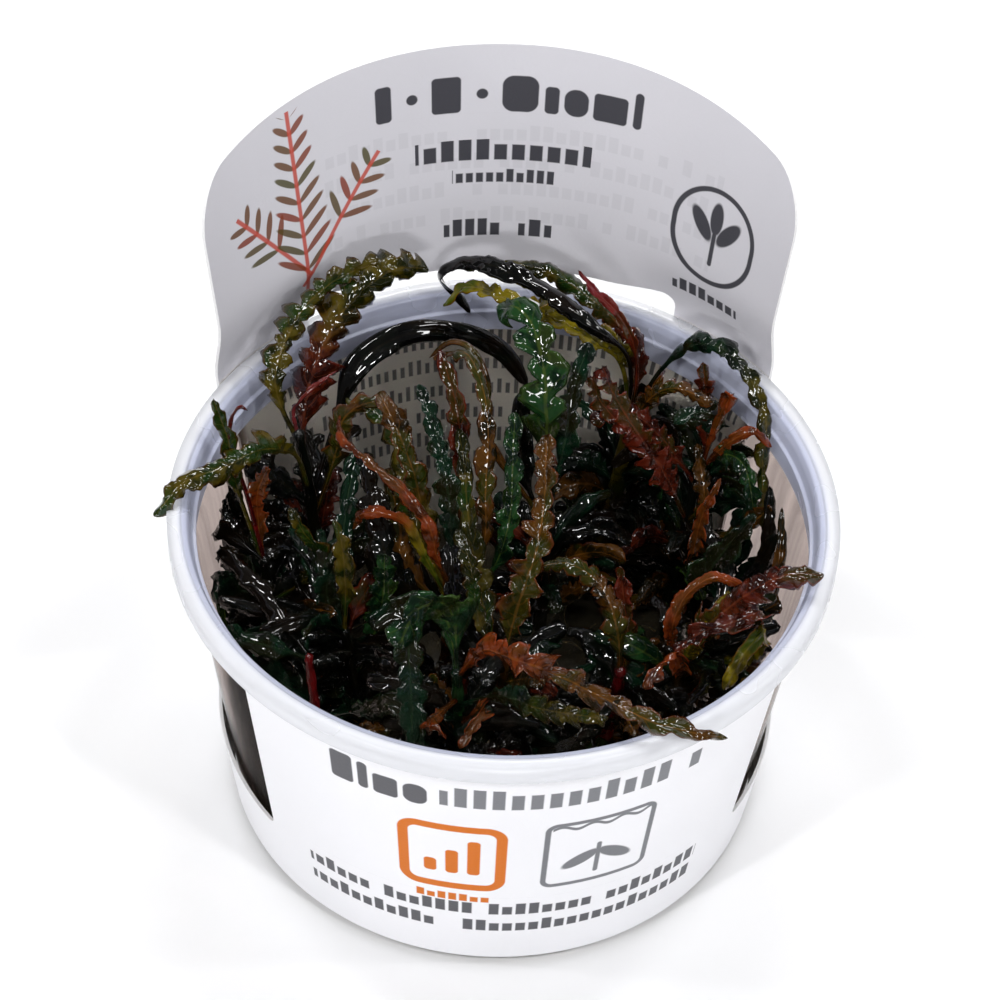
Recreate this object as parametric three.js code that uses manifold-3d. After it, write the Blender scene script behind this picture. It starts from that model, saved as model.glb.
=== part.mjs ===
// A tissue culture aquarium plant with deeply lobed leaves, in the cup that it was grown in.
// Millimetres, Z up. The origin is the centre of the cup's underside and the front faces -Y.

import * as THREE from 'three';
import { mergeVertices } from 'three/addons/utils/BufferGeometryUtils.js';
import Module from 'manifold-3d';

const wasm = await Module();
wasm.setup();

// Cup
const cupHeight = 58;
const cupBaseRadius = 41.2;
const cupSlope = 0.118;
const cupWall = 0.9;
const cupFloor = 1.2;
const shoulderBottom = 48.5;
const shoulderTop = 50;
const shoulderStep = 0.4;
const rimRadius = 50.5;
const rimInnerRadius = 47.1;
const skirtDrop = 3.4;
const skirtWall = 0.7;
const cupSegments = 36;

// Printed sleeve
const sleeveBaseRadius = 41.75;
const sleeveSlope = 0.123;
const sleeveSheet = 0.5;
const sleeveTurn = 4.7;
const sleeveBottom = 1;
const bandTop = 15.5;
const panelTop = 53.8;
const tabHalfAngle = 57.5;
const tabHeight = 102.5;
const archAngle = 36;
const archDrop = 2.5;
const archPower = 2.5;
const tabCornerAngle = 7.5;
const tabCornerDrop = 9;
const tabShoulder = 70;
const slotHalfAngle = 35;
const slotTop = 61.5;
const frontHalfAngle = 53;
const rimBulge = 2.3;
const bulgeStart = 46;
const bulgeEnd = 58;
const bulgeFade = 12;
const bulgeStartAngle = 22;

// Gel and plant
const gelTop = 10;
const footHeight = 3;
const stemSides = 6;
const gap = 0.3;
const stalkHalfWidth = 0.5;
const leafThickness = 0.8;
const lowPairRise = 7;
const lowWidth = 3.2;

const viewSide = new THREE.Vector3(0, -0.6, 0.8);

const tones = {
  olive: '#5c5524',
  brown: '#4a3320',
  redBrown: '#6b2f1d',
  orange: '#9c4a22',
  yellow: '#8f8a28',
  green: '#2c5a2a',
  teal: '#173a2c',
  dark: '#141c16',
};

// Each stem's centre line from its foot in the gel, its radius, and the small leaves low on it:
// how many, the first pair's height and direction in degrees, and their length
const stemPlan = {
  back_left: { path: [[-26, 13, footHeight], [-29, 16, 22], [-31, 18.5, 40], [-32.6, 19.2, 52]],
    radius: 1.2, tone: 'dark',
    low: { count: 4, from: 10.5, turn: 30, length: 11 } },
  left: { path: [[-33, 2, footHeight], [-36, 4, 20], [-37, 5, 38]], radius: 1.1, tone: 'dark',
    low: { count: 4, from: 14, turn: 80, length: 9 } },
  mid_left: { path: [[-9, 2, footHeight], [-8, 3, 22], [-8, 2, 38]], radius: 1.2, tone: 'brown',
    low: { count: 4, from: 12, turn: 20, length: 11 } },
  middle: { path: [[2, -7, footHeight], [1, -9, 20], [1, -12, 38]], radius: 1.1, tone: 'brown',
    low: { count: 4, from: 13, turn: 50, length: 10 } },
  centre_back: { path: [[7, 18, footHeight], [7, 18, 24], [7, 16, 44]], radius: 1.1, tone: 'dark',
    low: { count: 4, from: 13, turn: 10, length: 12 } },
  back_right: { path: [[15, 31, footHeight], [18, 34, 24], [20, 36, 46]], radius: 1.4, tone: 'olive',
    low: { count: 4, from: 14, turn: 60, length: 9 } },
  far_right: { path: [[27, 21, footHeight], [29, 24, 22], [31, 26, 42]], radius: 1.1, tone: 'dark',
    low: { count: 4, from: 12, turn: 40, length: 9 } },
  right: { path: [[26, -4, footHeight], [28, -6, 20], [29, -8, 36]], radius: 1.1, tone: 'brown',
    low: { count: 4, from: 12, turn: 70, length: 11 } },
  front: { path: [[-3, -16, footHeight], [-5, -17, 22], [-6, -18, 40]], radius: 1.1, tone: 'green',
    low: { count: 4, from: 12, turn: 30, length: 11 } },
  mid_right: { path: [[17, -6, footHeight], [18, -9, 18], [19, -11, 34]], radius: 1.1, tone: 'redBrown',
    low: { count: 4, from: 14, turn: 25, length: 9 } },
  front_left: { path: [[-20, -4, footHeight], [-22, -3, 16], [-24, -2, 30]], radius: 1, tone: 'dark',
    low: { count: 4, from: 12, turn: 60, length: 9 } },
  red: { path: [[-24, -16, footHeight], [-27, -14, 18], [-29, -11, 34]], radius: 0.9, tone: 'redBrown',
    low: { count: 4, from: 12, turn: 20, length: 10 } },
};

// Each leaf grows from its stem at the height `at`, then follows `path` to its tip
const leafPlan = [
  { name: 'left_1', stem: 'back_left', at: 40, width: 4.6, lobes: 6, stalk: 0.3, tone: 'olive',
    path: [[-33, 13, 54], [-38, 6, 61], [-42, 2, 61.4], [-47.4, -1.4, 61.6], [-52.1, -5.2, 57.6]] },
  { name: 'left_2', stem: 'left', at: 36, width: 3, lobes: 4, stalk: 0.4, tone: 'olive',
    path: [[-41, 7, 52], [-42, 7, 62], [-44, 7, 71]] },
  { name: 'left_3', stem: 'left', at: 32, width: 3.4, lobes: 4, stalk: 0.3, tone: 'orange',
    path: [[-38, 8, 42], [-38, 8, 50], [-36, 7, 57]] },
  { name: 'left_4', stem: 'left', at: 24, width: 4, lobes: 5, stalk: 0.3, tone: 'dark',
    path: [[-41, 11, 34], [-42, 11, 44], [-42, 11, 53]] },
  { name: 'left_5', stem: 'left', at: 12, width: 4.4, lobes: 5, stalk: 0.2, tone: 'teal',
    path: [[-39, -1, 22], [-40, 0, 32], [-39, 2, 42]] },
  { name: 'back_left_1', stem: 'back_left', at: 41, width: 9, lobes: 7, stalk: 0.22, tone: 'redBrown',
    path: [[-32, 22, 52], [-30, 27, 61], [-25, 33, 68], [-19, 37, 71], [-14, 40, 69]] },
  { name: 'back_left_2', stem: 'back_left', at: 34, width: 5, lobes: 5, stalk: 0.3, tone: 'brown',
    path: [[-27, 20, 46], [-25, 20, 56], [-20, 20, 59], [-16, 19, 55]] },
  { name: 'back_1', stem: 'back_left', at: 38, width: 4, lobes: 7, stalk: 0.24, tone: 'dark',
    path: [[-27, 25, 50], [-24, 30, 57], [-17, 34, 60], [-9, 35, 60], [-2, 35, 57], [3, 33, 51]] },
  { name: 'back_2', stem: 'back_right', at: 44, width: 3.4, lobes: 7, stalk: 0.3, tone: 'dark',
    path: [[18, 32, 60], [13, 30, 67], [7, 33, 70], [0, 37, 71], [-7, 41, 70], [-12, 43, 65],
      [-6.8, 42.4, 57.6]] },
  { name: 'back_3', stem: 'back_right', at: 42, width: 3.6, lobes: 7, stalk: 0.3, tone: 'yellow',
    path: [[17, 35, 56], [11, 34, 62], [4, 35, 65], [-3, 38, 66], [-8, 41, 64], [-11, 41, 60]] },
  { name: 'back_4', stem: 'back_right', at: 45, width: 4.4, lobes: 7, stalk: 0.15, tone: 'redBrown',
    path: [[20, 34, 57], [17, 36, 62], [11, 39, 66], [4, 42, 68], [-2, 44, 67]] },
  { name: 'back_5', stem: 'back_right', at: 39.5, width: 2.4, lobes: 4, stalk: 0.5, tone: 'redBrown',
    path: [[20, 33, 55], [18.7, 32.6, 63], [16.3, 32.6, 68], [12.9, 32.6, 72], [9.6, 32.6, 76.7]] },
  { name: 'middle_1', stem: 'middle', at: 37, width: 5.6, lobes: 7, stalk: 0.1, tone: 'brown',
    path: [[3, -10, 48], [5, -6, 54], [6, 0, 58], [6, 5, 61], [6, 10, 63]] },
  { name: 'middle_2', stem: 'centre_back', at: 43, width: 8, lobes: 4, stalk: 0.2, tone: 'green',
    path: [[6, 19, 57], [5, 23, 65], [3, 28, 69], [0, 31, 70], [-2, 32, 66]] },
  { name: 'middle_3', stem: 'centre_back', at: 40, width: 4.6, lobes: 4, stalk: 0.3, tone: 'teal',
    path: [[9, 20, 52], [10, 24, 60], [12, 28, 66]] },
  { name: 'middle_4', stem: 'centre_back', at: 34, width: 4, lobes: 0, stalk: 0.3, tone: 'dark',
    path: [[3, 20, 44], [2, 22, 51], [2, 25, 58]] },
  { name: 'middle_5', stem: 'mid_right', at: 32, width: 4.4, lobes: 6, stalk: 0.2, tone: 'brown',
    path: [[18, -10, 42], [15, -6, 48], [10, -4, 50], [6, -3, 48]] },
  { name: 'middle_6', stem: 'mid_right', at: 26, width: 3.6, lobes: 4, stalk: 0.2, tone: 'redBrown',
    path: [[20, -6, 36], [19, -4, 42], [18, -2, 48]] },
  { name: 'mid_left_1', stem: 'mid_left', at: 37, width: 2.4, lobes: 7, stalk: 0.1, tone: 'orange',
    path: [[-10, 0, 46], [-11.5, 1, 52], [-16, 4, 57], [-21, 7, 59], [-25, 11, 60], [-26, 16, 59]] },
  { name: 'mid_left_2', stem: 'mid_left', at: 33, width: 2.4, lobes: 6, stalk: 0.2, tone: 'yellow',
    path: [[-12, 2, 44], [-15, 3, 50], [-19, 3, 52], [-22, 4, 50], [-23, 5, 46]] },
  { name: 'mid_left_3', stem: 'mid_left', at: 30, width: 5, lobes: 6, stalk: 0.2, tone: 'olive',
    path: [[-12, 8, 43], [-14, 11, 52], [-17, 14, 59], [-20, 18, 63]] },
  { name: 'mid_left_4', stem: 'mid_left', at: 36, width: 4.2, lobes: 6, stalk: 0.2, tone: 'teal',
    path: [[-8, 7, 45], [-9, 10, 52], [-11, 14, 59], [-14, 19, 64]] },
  { name: 'mid_left_5', stem: 'mid_left', at: 26, width: 3.8, lobes: 5, stalk: 0.4, tone: 'redBrown',
    path: [[-7, 13, 40], [-7, 17, 49], [-8, 21, 57], [-11, 26, 65]] },
  { name: 'mid_left_6', stem: 'mid_left', at: 34, width: 3.8, lobes: 6, stalk: 0.2, tone: 'brown',
    path: [[-3, 6, 42], [-3, 10, 51], [-3, 15, 58], [-4, 20, 62], [-7, 26, 64], [-12, 29, 60]] },
  { name: 'mid_left_7', stem: 'mid_left', at: 28, width: 4, lobes: 5, stalk: 0.3, tone: 'green',
    path: [[-1, 6, 38], [1, 9, 46], [1, 13, 53], [1, 18, 60]] },
  { name: 'right_1', stem: 'back_right', at: 40, width: 3.4, lobes: 7, stalk: 0.25, tone: 'teal',
    path: [[24, 36, 53], [29, 34, 61], [33, 31, 63], [37, 26, 62], [40, 22, 57], [40, 19, 50],
      [41, 14, 41]] },
  { name: 'right_2', stem: 'far_right', at: 40, width: 4.4, lobes: 4, stalk: 0.3, tone: 'green',
    path: [[34, 22, 49], [37, 18, 51], [39, 14, 45]] },
  { name: 'right_3', stem: 'right', at: 35, width: 5, lobes: 7, stalk: 0.1, tone: 'brown',
    path: [[31, -12, 46], [34, -14, 53], [38, -15, 59], [42, -15, 62], [47, -15, 62]] },
  { name: 'right_4', stem: 'right', at: 33, width: 2.6, lobes: 6, stalk: 0.15, tone: 'orange',
    path: [[26, -11, 44], [28, -9, 50], [32, -8, 53], [36, -9, 52], [38, -10, 48]] },
  { name: 'right_5', stem: 'right', at: 28, width: 3.6, lobes: 5, stalk: 0.2, tone: 'orange',
    path: [[28, -14, 38], [26, -17, 45], [22, -22, 43]] },
  { name: 'right_6', stem: 'right', at: 24, width: 4.4, lobes: 5, stalk: 0.2, tone: 'yellow',
    path: [[37, -9, 36], [40, -12, 46], [37, -17, 47], [34, -20, 41]] },
  { name: 'right_7', stem: 'far_right', at: 22, width: 2.6, lobes: 5, stalk: 0.3, tone: 'orange',
    path: [[30, 14, 33], [31, 13, 44], [33, 12, 53]] },
  { name: 'right_8', stem: 'far_right', at: 14, width: 5, lobes: 4, stalk: 0.3, tone: 'teal',
    path: [[31, 10, 30], [35, 10, 40], [39, 11, 47]] },
  { name: 'back_right_1', stem: 'back_right', at: 36, width: 4, lobes: 6, stalk: 0.3, tone: 'brown',
    path: [[22, 31, 51], [26, 28, 57], [32, 25, 57]] },
  { name: 'back_right_2', stem: 'far_right', at: 36, width: 4, lobes: 4, stalk: 0.3, tone: 'redBrown',
    path: [[32, 30, 46], [31, 30, 54], [30, 30, 61]] },
  { name: 'back_right_3', stem: 'far_right', at: 30, width: 6.4, lobes: 7, stalk: 0.2, tone: 'redBrown',
    path: [[25, 22, 44], [20, 22, 53], [16, 23, 60], [14, 24, 65]] },
  { name: 'back_right_4', stem: 'far_right', at: 38, width: 4.6, lobes: 6, stalk: 0.2, tone: 'redBrown',
    path: [[25, 27, 46], [19, 28, 51], [13, 27, 50]] },
  { name: 'front_1', stem: 'front', at: 38, width: 7, lobes: 5, stalk: 0.12, tone: 'green',
    path: [[-8, -15, 49], [-11, -17, 53], [-13, -20, 50], [-12.6, -24.6, 44.4], [-12, -29.5, 36.8]] },
  { name: 'front_2', stem: 'front', at: 39, width: 4.8, lobes: 8, stalk: 0.06, tone: 'orange',
    path: [[-2, -21, 49], [3, -27, 54], [9, -34, 59], [15, -40, 62], [22, -44, 62], [29, -45, 61],
      [32.4, -44.4, 59.8]] },
  { name: 'front_3', stem: 'front', at: 32, width: 4.4, lobes: 6, stalk: 0.2, tone: 'teal',
    path: [[1, -23, 41], [6, -30, 47], [11, -35, 52], [16, -39, 56]] },
  { name: 'front_4', stem: 'front', at: 27, width: 2.6, lobes: 4, stalk: 0.3, tone: 'orange',
    path: [[-2, -22, 37], [-2, -27, 41], [-5, -31, 38]] },
  { name: 'front_left_1', stem: 'front_left', at: 27, width: 4.2, lobes: 5, stalk: 0.2, tone: 'teal',
    path: [[-27, 1, 36], [-25, 2, 42], [-23, 3, 43]] },
  { name: 'front_left_2', stem: 'front_left', at: 20, width: 5, lobes: 5, stalk: 0.2, tone: 'green',
    path: [[-19, -1, 30], [-18, 0, 38], [-18, 1, 45]] },
  { name: 'front_left_3', stem: 'red', at: 22, width: 4, lobes: 5, stalk: 0.3, tone: 'teal',
    path: [[-20, -18, 30], [-15, -20, 34], [-10, -24, 28]] },
];

function curveOf(points) {
  return new THREE.CatmullRomCurve3(points.map(([x, y, z]) => new THREE.Vector3(x, y, z)));
}

function solidOf(geometry) {
  const bare = geometry.clone();
  bare.deleteAttribute('normal');
  bare.deleteAttribute('uv');
  const merged = mergeVertices(bare, 1e-4);
  return new wasm.Manifold(new wasm.Mesh({
    numProp: 3,
    vertProperties: new Float32Array(merged.attributes.position.array),
    triVerts: new Uint32Array(merged.index.array),
  }));
}

function geometryOf(solid) {
  const mesh = solid.getMesh();
  const geometry = new THREE.BufferGeometry();
  geometry.setAttribute('position', new THREE.BufferAttribute(mesh.vertProperties, 3));
  geometry.setIndex(new THREE.BufferAttribute(mesh.triVerts, 1));
  geometry.computeVertexNormals();
  return geometry;
}

function geometryFrom(points, faces) {
  const geometry = new THREE.BufferGeometry();
  geometry.setAttribute('position', new THREE.Float32BufferAttribute(points.flatMap((p) => p.toArray()), 3));
  geometry.setIndex(faces.flat());
  geometry.computeVertexNormals();
  return geometry;
}

// A lathe turned from its Y axis to stand on Z
function turned(profile, segments) {
  const geometry = new THREE.LatheGeometry(profile.map(([r, z]) => new THREE.Vector2(r, z)), segments);
  geometry.rotateX(Math.PI / 2);
  return geometry;
}

function wallRadius(z) {
  return cupBaseRadius + cupSlope * z;
}

function cupGeometry() {
  const underRim = cupHeight - skirtWall * 2;
  const skirtInner = rimRadius - skirtWall;
  const aboveShoulder = wallRadius(shoulderTop) + shoulderStep;
  const neck = rimInnerRadius + cupWall + 0.3;
  return turned([
    [0, 0],
    [cupBaseRadius - 0.8, 0],
    [cupBaseRadius, 0.8],
    [wallRadius(shoulderBottom), shoulderBottom],
    [aboveShoulder, shoulderTop],
    [neck, underRim],
    [skirtInner, underRim],
    [skirtInner, cupHeight - skirtDrop],
    [rimRadius, cupHeight - skirtDrop],
    [rimRadius, cupHeight - 0.6],
    [rimRadius - 0.6, cupHeight],
    [rimInnerRadius + 0.5, cupHeight],
    [rimInnerRadius, cupHeight - 0.5],
    [aboveShoulder - cupWall, shoulderTop],
    [wallRadius(shoulderBottom) - cupWall, shoulderBottom],
    [wallRadius(cupFloor) - cupWall, cupFloor + 0.6],
    [wallRadius(cupFloor) - cupWall - 0.8, cupFloor],
    [0, cupFloor],
  ], cupSegments);
}

function smooth(value) {
  const t = THREE.MathUtils.clamp(value, 0, 1);
  return t * t * (3 - 2 * t);
}

// The sleeve's angles are in degrees round the cup from the middle of the tab, positive to the right
function tabTop(angle) {
  const away = Math.abs(angle);
  const arch = tabHeight - archDrop * (away / archAngle) ** archPower;
  const intoCorner = Math.max(0, (away - (tabHalfAngle - tabCornerAngle)) / tabCornerAngle);
  return arch - tabCornerDrop * (1 - Math.sqrt(Math.max(0, 1 - intoCorner ** 2)));
}

// Beside the slot the sleeve bends out to pass the cup's rim
function sleeveRadius(angle, z) {
  const away = Math.abs(angle);
  const onTab = away <= tabHalfAngle;
  const side = onTab ? smooth((away - bulgeStartAngle) / (slotHalfAngle - bulgeStartAngle)) : 0;
  const rise = smooth((z - bulgeStart) / (panelTop - bulgeStart));
  const fall = smooth((z - bulgeEnd) / bulgeFade);
  return sleeveBaseRadius + sleeveSlope * z + rimBulge * side * rise * (1 - fall);
}

function sleevePoint(angle, z, depth) {
  const turn = THREE.MathUtils.degToRad(angle - sleeveTurn);
  const radius = sleeveRadius(angle, z) + depth;
  return new THREE.Vector3(radius * Math.sin(turn), radius * Math.cos(turn), z);
}

function spread(from, to, count) {
  return Array.from({ length: count }, (_, i) => from + ((to - from) * i) / count);
}

function sleeveGeometry() {
  const frontEdge = 180 - frontHalfAngle;
  const cornerStart = tabHalfAngle - tabCornerAngle;
  const half = [
    ...spread(0, slotHalfAngle, 5),
    ...spread(slotHalfAngle, cornerStart, 2),
    ...spread(cornerStart, tabHalfAngle, 3),
    ...spread(tabHalfAngle, frontEdge, 7),
    ...spread(frontEdge, 180, 6),
  ];
  const angles = [...half.slice(1).map((a) => -a).reverse(), ...half, 180];
  const columns = angles.length;
  const levels = [sleeveBottom, bandTop, bulgeStart, panelTop, slotTop, tabShoulder, 80, null];
  const middle = (i) => (i === columns - 1 ? 180 : Math.abs(angles[i] + angles[i + 1]) / 2);
  const isSheet = (i, row) => {
    if (row < 0 || row >= levels.length - 1) return false;
    const away = middle(i);
    if (row === 0) return true;
    if (away > frontEdge) return row < 3;
    if (away > tabHalfAngle) return false;
    return row !== 3 || away > slotHalfAngle;
  };
  const points = [];
  angles.forEach((angle) => levels.forEach((level) => {
    const z = level ?? tabTop(Math.min(Math.abs(angle), tabHalfAngle));
    points.push(sleevePoint(angle, z, 0), sleevePoint(angle, z, sleeveSheet));
  }));
  const at = (i, row, outer) => ((i % columns) * levels.length + row) * 2 + outer;
  const faces = [];
  const quad = (a, b, c, d) => faces.push([a, b, c], [a, c, d]);
  for (let i = 0; i < columns; i += 1) {
    for (let row = 0; row < levels.length - 1; row += 1) {
      if (!isSheet(i, row)) continue;
      quad(at(i, row, 0), at(i + 1, row, 0), at(i + 1, row + 1, 0), at(i, row + 1, 0));
      quad(at(i, row, 1), at(i, row + 1, 1), at(i + 1, row + 1, 1), at(i + 1, row, 1));
      if (!isSheet(i, row - 1)) quad(at(i, row, 0), at(i, row, 1), at(i + 1, row, 1), at(i + 1, row, 0));
      if (!isSheet(i, row + 1)) {
        quad(at(i, row + 1, 0), at(i + 1, row + 1, 0), at(i + 1, row + 1, 1), at(i, row + 1, 1));
      }
      if (!isSheet((i + columns - 1) % columns, row)) {
        quad(at(i, row, 0), at(i, row + 1, 0), at(i, row + 1, 1), at(i, row, 1));
      }
      if (!isSheet((i + 1) % columns, row)) {
        quad(at(i + 1, row, 0), at(i + 1, row, 1), at(i + 1, row + 1, 1), at(i + 1, row + 1, 0));
      }
    }
  }
  const used = mergeVertices(geometryFrom(points, faces).toNonIndexed(), 1e-4);
  return used;
}

function tube(curve, radius, steps) {
  const section = new THREE.Shape();
  for (let k = 0; k < stemSides; k += 1) {
    const turn = (2 * Math.PI * k) / stemSides;
    const point = [radius * Math.cos(turn), radius * Math.sin(turn)];
    if (k === 0) section.moveTo(...point);
    else section.lineTo(...point);
  }
  return new THREE.ExtrudeGeometry(section, { steps, bevelEnabled: false, extrudePath: curve });
}

function gelGeometry() {
  const bottom = cupFloor + gap;
  const inset = cupWall + gap;
  const disc = turned([
    [0, bottom],
    [wallRadius(bottom) - inset - 1.2, bottom],
    [wallRadius(bottom) - inset, bottom + 1.2],
    [wallRadius(gelTop) - inset, gelTop],
    [0, gelTop],
  ], 24);
  return geometryOf(Object.values(stemPlan).reduce((gel, { path, radius }) => {
    const foot = [path[0][0], path[0][1], path[0][2] - gap];
    const socket = solidOf(tube(curveOf([foot, ...path.slice(1)]), radius + gap, 4));
    return gel.subtract(socket);
  }, solidOf(disc)));
}

// How wide the blade is along its length, as a share of its full width
function bladeOutline(t) {
  return Math.min(1, 0.4 + 3 * t) * (1 - 0.5 * t ** 3);
}

// A lobed blade on its stalk, along a curve from the stem to the tip
function bladeGeometry(curve, { width, lobes, stalk, roll = 0 }) {
  const points = [];
  const section = (u, left, right, thick, leftShift, rightShift, cup) => {
    const centre = curve.getPointAt(u);
    const along = curve.getTangentAt(u);
    const normal = viewSide.clone().addScaledVector(along, -viewSide.dot(along)).normalize();
    normal.applyAxisAngle(along, THREE.MathUtils.degToRad(roll));
    const across = along.clone().cross(normal);
    const edge = (half, shift) => centre.clone()
      .addScaledVector(across, half)
      .addScaledVector(along, shift)
      .addScaledVector(normal, Math.abs(half) * cup);
    points.push(
      edge(-left, leftShift),
      centre.clone().addScaledVector(normal, thick / 2),
      edge(right, rightShift),
      centre.clone().addScaledVector(normal, -thick / 2),
    );
  };
  section(0, stalkHalfWidth, stalkHalfWidth, leafThickness, 0, 0, 0);
  section(stalk, stalkHalfWidth, stalkHalfWidth, leafThickness, 0, 0, 0);
  const cells = lobes || 3;
  const pitch = ((1 - stalk) / cells) * curve.getLength();
  const notch = lobes ? 0.42 : 1;
  for (let i = 0; i < cells; i += 1) {
    const lobeAt = (i + 0.5) / cells;
    const notchAt = (i + 1) / cells;
    const half = (width / 2) * bladeOutline(lobeAt);
    const sweep = lobes ? pitch * 0.3 : 0;
    section(stalk + (1 - stalk) * lobeAt, half, half, leafThickness, sweep, sweep * 0.6, 0.3);
    if (i < cells - 1) {
      const inner = (width / 2) * bladeOutline(notchAt) * notch;
      section(stalk + (1 - stalk) * notchAt, inner, inner, leafThickness, 0, 0, 0.2);
    }
  }
  const stations = points.length / 4;
  const tip = points.push(curve.getPointAt(1)) - 1;
  const faces = [[0, 2, 1], [0, 3, 2]];
  for (let s = 0; s < stations - 1; s += 1) {
    for (let k = 0; k < 4; k += 1) {
      const a = s * 4 + k;
      const b = s * 4 + ((k + 1) % 4);
      faces.push([a, b + 4, a + 4], [a, b, b + 4]);
    }
  }
  for (let k = 0; k < 4; k += 1) {
    const last = (stations - 1) * 4;
    faces.push([last + k, last + ((k + 1) % 4), tip]);
  }
  return geometryFrom(points, faces);
}

function leafGeometry({ stem, at, path, ...blade }) {
  const { path: stemPath, radius } = stemPlan[stem];
  const foot = stemPath[0][2];
  const joint = curveOf(stemPath).getPoint((at - foot) / (stemPath.at(-1)[2] - foot));
  const away = new THREE.Vector3(...path[0]).sub(joint).setZ(0).normalize();
  joint.addScaledVector(away, radius + gap + stalkHalfWidth);
  return bladeGeometry(curveOf([joint.toArray(), ...path]), blade);
}

// Opposite leaves in pairs, each pair a quarter turn from the one below it
function lowLeaf(stemCurve, index, { from, turn, length }) {
  const pair = Math.floor(index / 2);
  const height = from + pair * lowPairRise;
  const foot = stemCurve.points[0].z;
  const base = stemCurve.getPoint((height - foot) / (stemCurve.points.at(-1).z - foot));
  const angle = THREE.MathUtils.degToRad(turn + 180 * (index % 2) + 90 * pair);
  const step = (out, up) => {
    const x = base.x + out * length * Math.cos(angle);
    const y = base.y + out * length * Math.sin(angle);
    const z = base.z + up * length;
    const room = (wallRadius(z) - cupWall - lowWidth) / Math.hypot(x, y);
    return room < 1 ? [x * room, y * room, z] : [x, y, z];
  };
  const curve = curveOf([base.toArray(), step(0.35, 0.4), step(0.7, 0.65), step(1, 0.6)]);
  return bladeGeometry(curve, { width: lowWidth, lobes: 2, stalk: 0.25 });
}

function stemGeometry({ path, radius, low }) {
  const curve = curveOf(path);
  let shoot = solidOf(tube(curve, radius, 4));
  for (let i = 0; i < low.count; i += 1) {
    shoot = shoot.add(solidOf(lowLeaf(curve, i, low)));
  }
  return geometryOf(shoot);
}

function addPiece(group, name, geometry, look) {
  const mesh = new THREE.Mesh(geometry, new THREE.MeshStandardMaterial(look));
  mesh.name = name;
  group.add(mesh);
}

const group = new THREE.Group();
addPiece(group, 'cup', cupGeometry(), { color: '#e6e6f2', roughness: 0.25, metalness: 0 });
addPiece(group, 'label_sleeve', sleeveGeometry(), { color: '#e4e3ea', roughness: 0.45, metalness: 0 });
addPiece(group, 'gel', gelGeometry(), { color: '#d9d3bd', roughness: 0.1, metalness: 0 });

Object.entries(stemPlan).forEach(([name, stem]) => {
  addPiece(group, `stem_${name}`, stemGeometry(stem),
    { color: tones[stem.tone], roughness: 0.3, metalness: 0 });
});

leafPlan.forEach((leaf) => {
  addPiece(group, `leaf_${leaf.name}`, leafGeometry(leaf),
    { color: tones[leaf.tone], roughness: 0.25, metalness: 0 });
});

export default group;
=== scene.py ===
"""Tissue culture hygrophila in its cup: the looks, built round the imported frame.

The sizes in the tables are millimetres; MM turns them into Blender's metres.
"""

import math
import random
from collections import namedtuple

import bmesh
import bpy
import numpy as np
from bpy.props import FloatProperty, FloatVectorProperty, IntProperty, PointerProperty
from mathutils import Matrix, Vector, geometry, noise


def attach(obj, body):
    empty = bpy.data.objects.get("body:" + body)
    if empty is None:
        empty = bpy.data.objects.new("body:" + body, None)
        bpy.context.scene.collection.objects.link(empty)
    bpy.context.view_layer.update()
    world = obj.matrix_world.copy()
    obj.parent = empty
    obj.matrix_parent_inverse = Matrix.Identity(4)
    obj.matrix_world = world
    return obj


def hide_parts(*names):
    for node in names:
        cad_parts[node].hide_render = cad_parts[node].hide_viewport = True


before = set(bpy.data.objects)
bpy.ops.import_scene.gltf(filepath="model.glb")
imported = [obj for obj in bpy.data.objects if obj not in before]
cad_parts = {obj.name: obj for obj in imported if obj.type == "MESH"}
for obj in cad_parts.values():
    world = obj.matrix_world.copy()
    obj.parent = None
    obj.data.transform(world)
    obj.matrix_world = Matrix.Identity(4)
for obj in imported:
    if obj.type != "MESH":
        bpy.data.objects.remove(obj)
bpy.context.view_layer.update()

bl_info = {
    "name": "Culture Cup Plant",
    "version": (1, 0, 0),
    "blender": (4, 5, 0),
    "location": "View3D > Sidebar > Plant",
    "description": "A cup of tissue culture aquarium plants with its printed sleeve",
    "category": "Add Mesh",
}

MM = 0.001

# The cup's outer wall is a cone: its radius at the foot, its growth with height, its wall and its top
CUP_FOOT = 41.2
CUP_SLOPE = 0.118
CUP_WALL = 0.9
CUP_TOP = 58.0

# Sleeve layout in degrees round the cup from the middle of the tab, and heights
SLEEVE_FOOT = 1.8
BAND_TOP = 15.5
PANEL_TOP = 53.8
TAB_HALF = 57.5
TAB_CORNER = 7.5
SLOT_HALF = 35.0
SLOT_TOP = 61.5
FRONT_EDGE = 127.0
SLEEVE_TURN = 4.7
OUTLINE_STEP = 2.0
WINDOW_CORNER = (2, 1.5)
SLOT_CORNER = (3, 2.2)

# Colours that stay the same whatever the settings. FOOT_SHADE is painted shade, laid on the wall's lowest 2
# mm as the dark line under the sleeve
FOOT_SHADE = (0.10, 0.075, 0.06)
CARE_PRINT = (0.05, 0.045, 0.045)
SPRIG_RED, SPRIG_OLIVE, SPRIG_STALK = (0.26, 0.050, 0.022), (0.075, 0.080, 0.022), (0.56, 0.075, 0.045)

# Half the width of a printed edge's soft step
SOFT = 0.12

# Bars in place of bold print: left, right, low, high and corner
FRONT_BARS = ((-24.2, -20.6, 44.4, 51.4), (-19.8, -18.2, 44.4, 51.0), (-17.4, -13.6, 44.4, 49.4),
              (-12.8, -9.2, 44.4, 49.4, 1.6))
TITLE_BARS = ((-23.2, -20.6, 90.6, 97), (-18.2, -16.4, 92.9, 94.7, 0.9), (-14.2, -9.6, 90.6, 97),
              (-7.2, -5.4, 92.9, 94.7, 0.9), (-3.2, 2.4, 90.6, 97, 1.8), (3.4, 5.6, 90.6, 95.4),
              (6.4, 10.2, 90.6, 95.4, 1.8), (11.0, 16.4, 90.6, 95.4), (17.4, 18.8, 90.6, 97))

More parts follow.
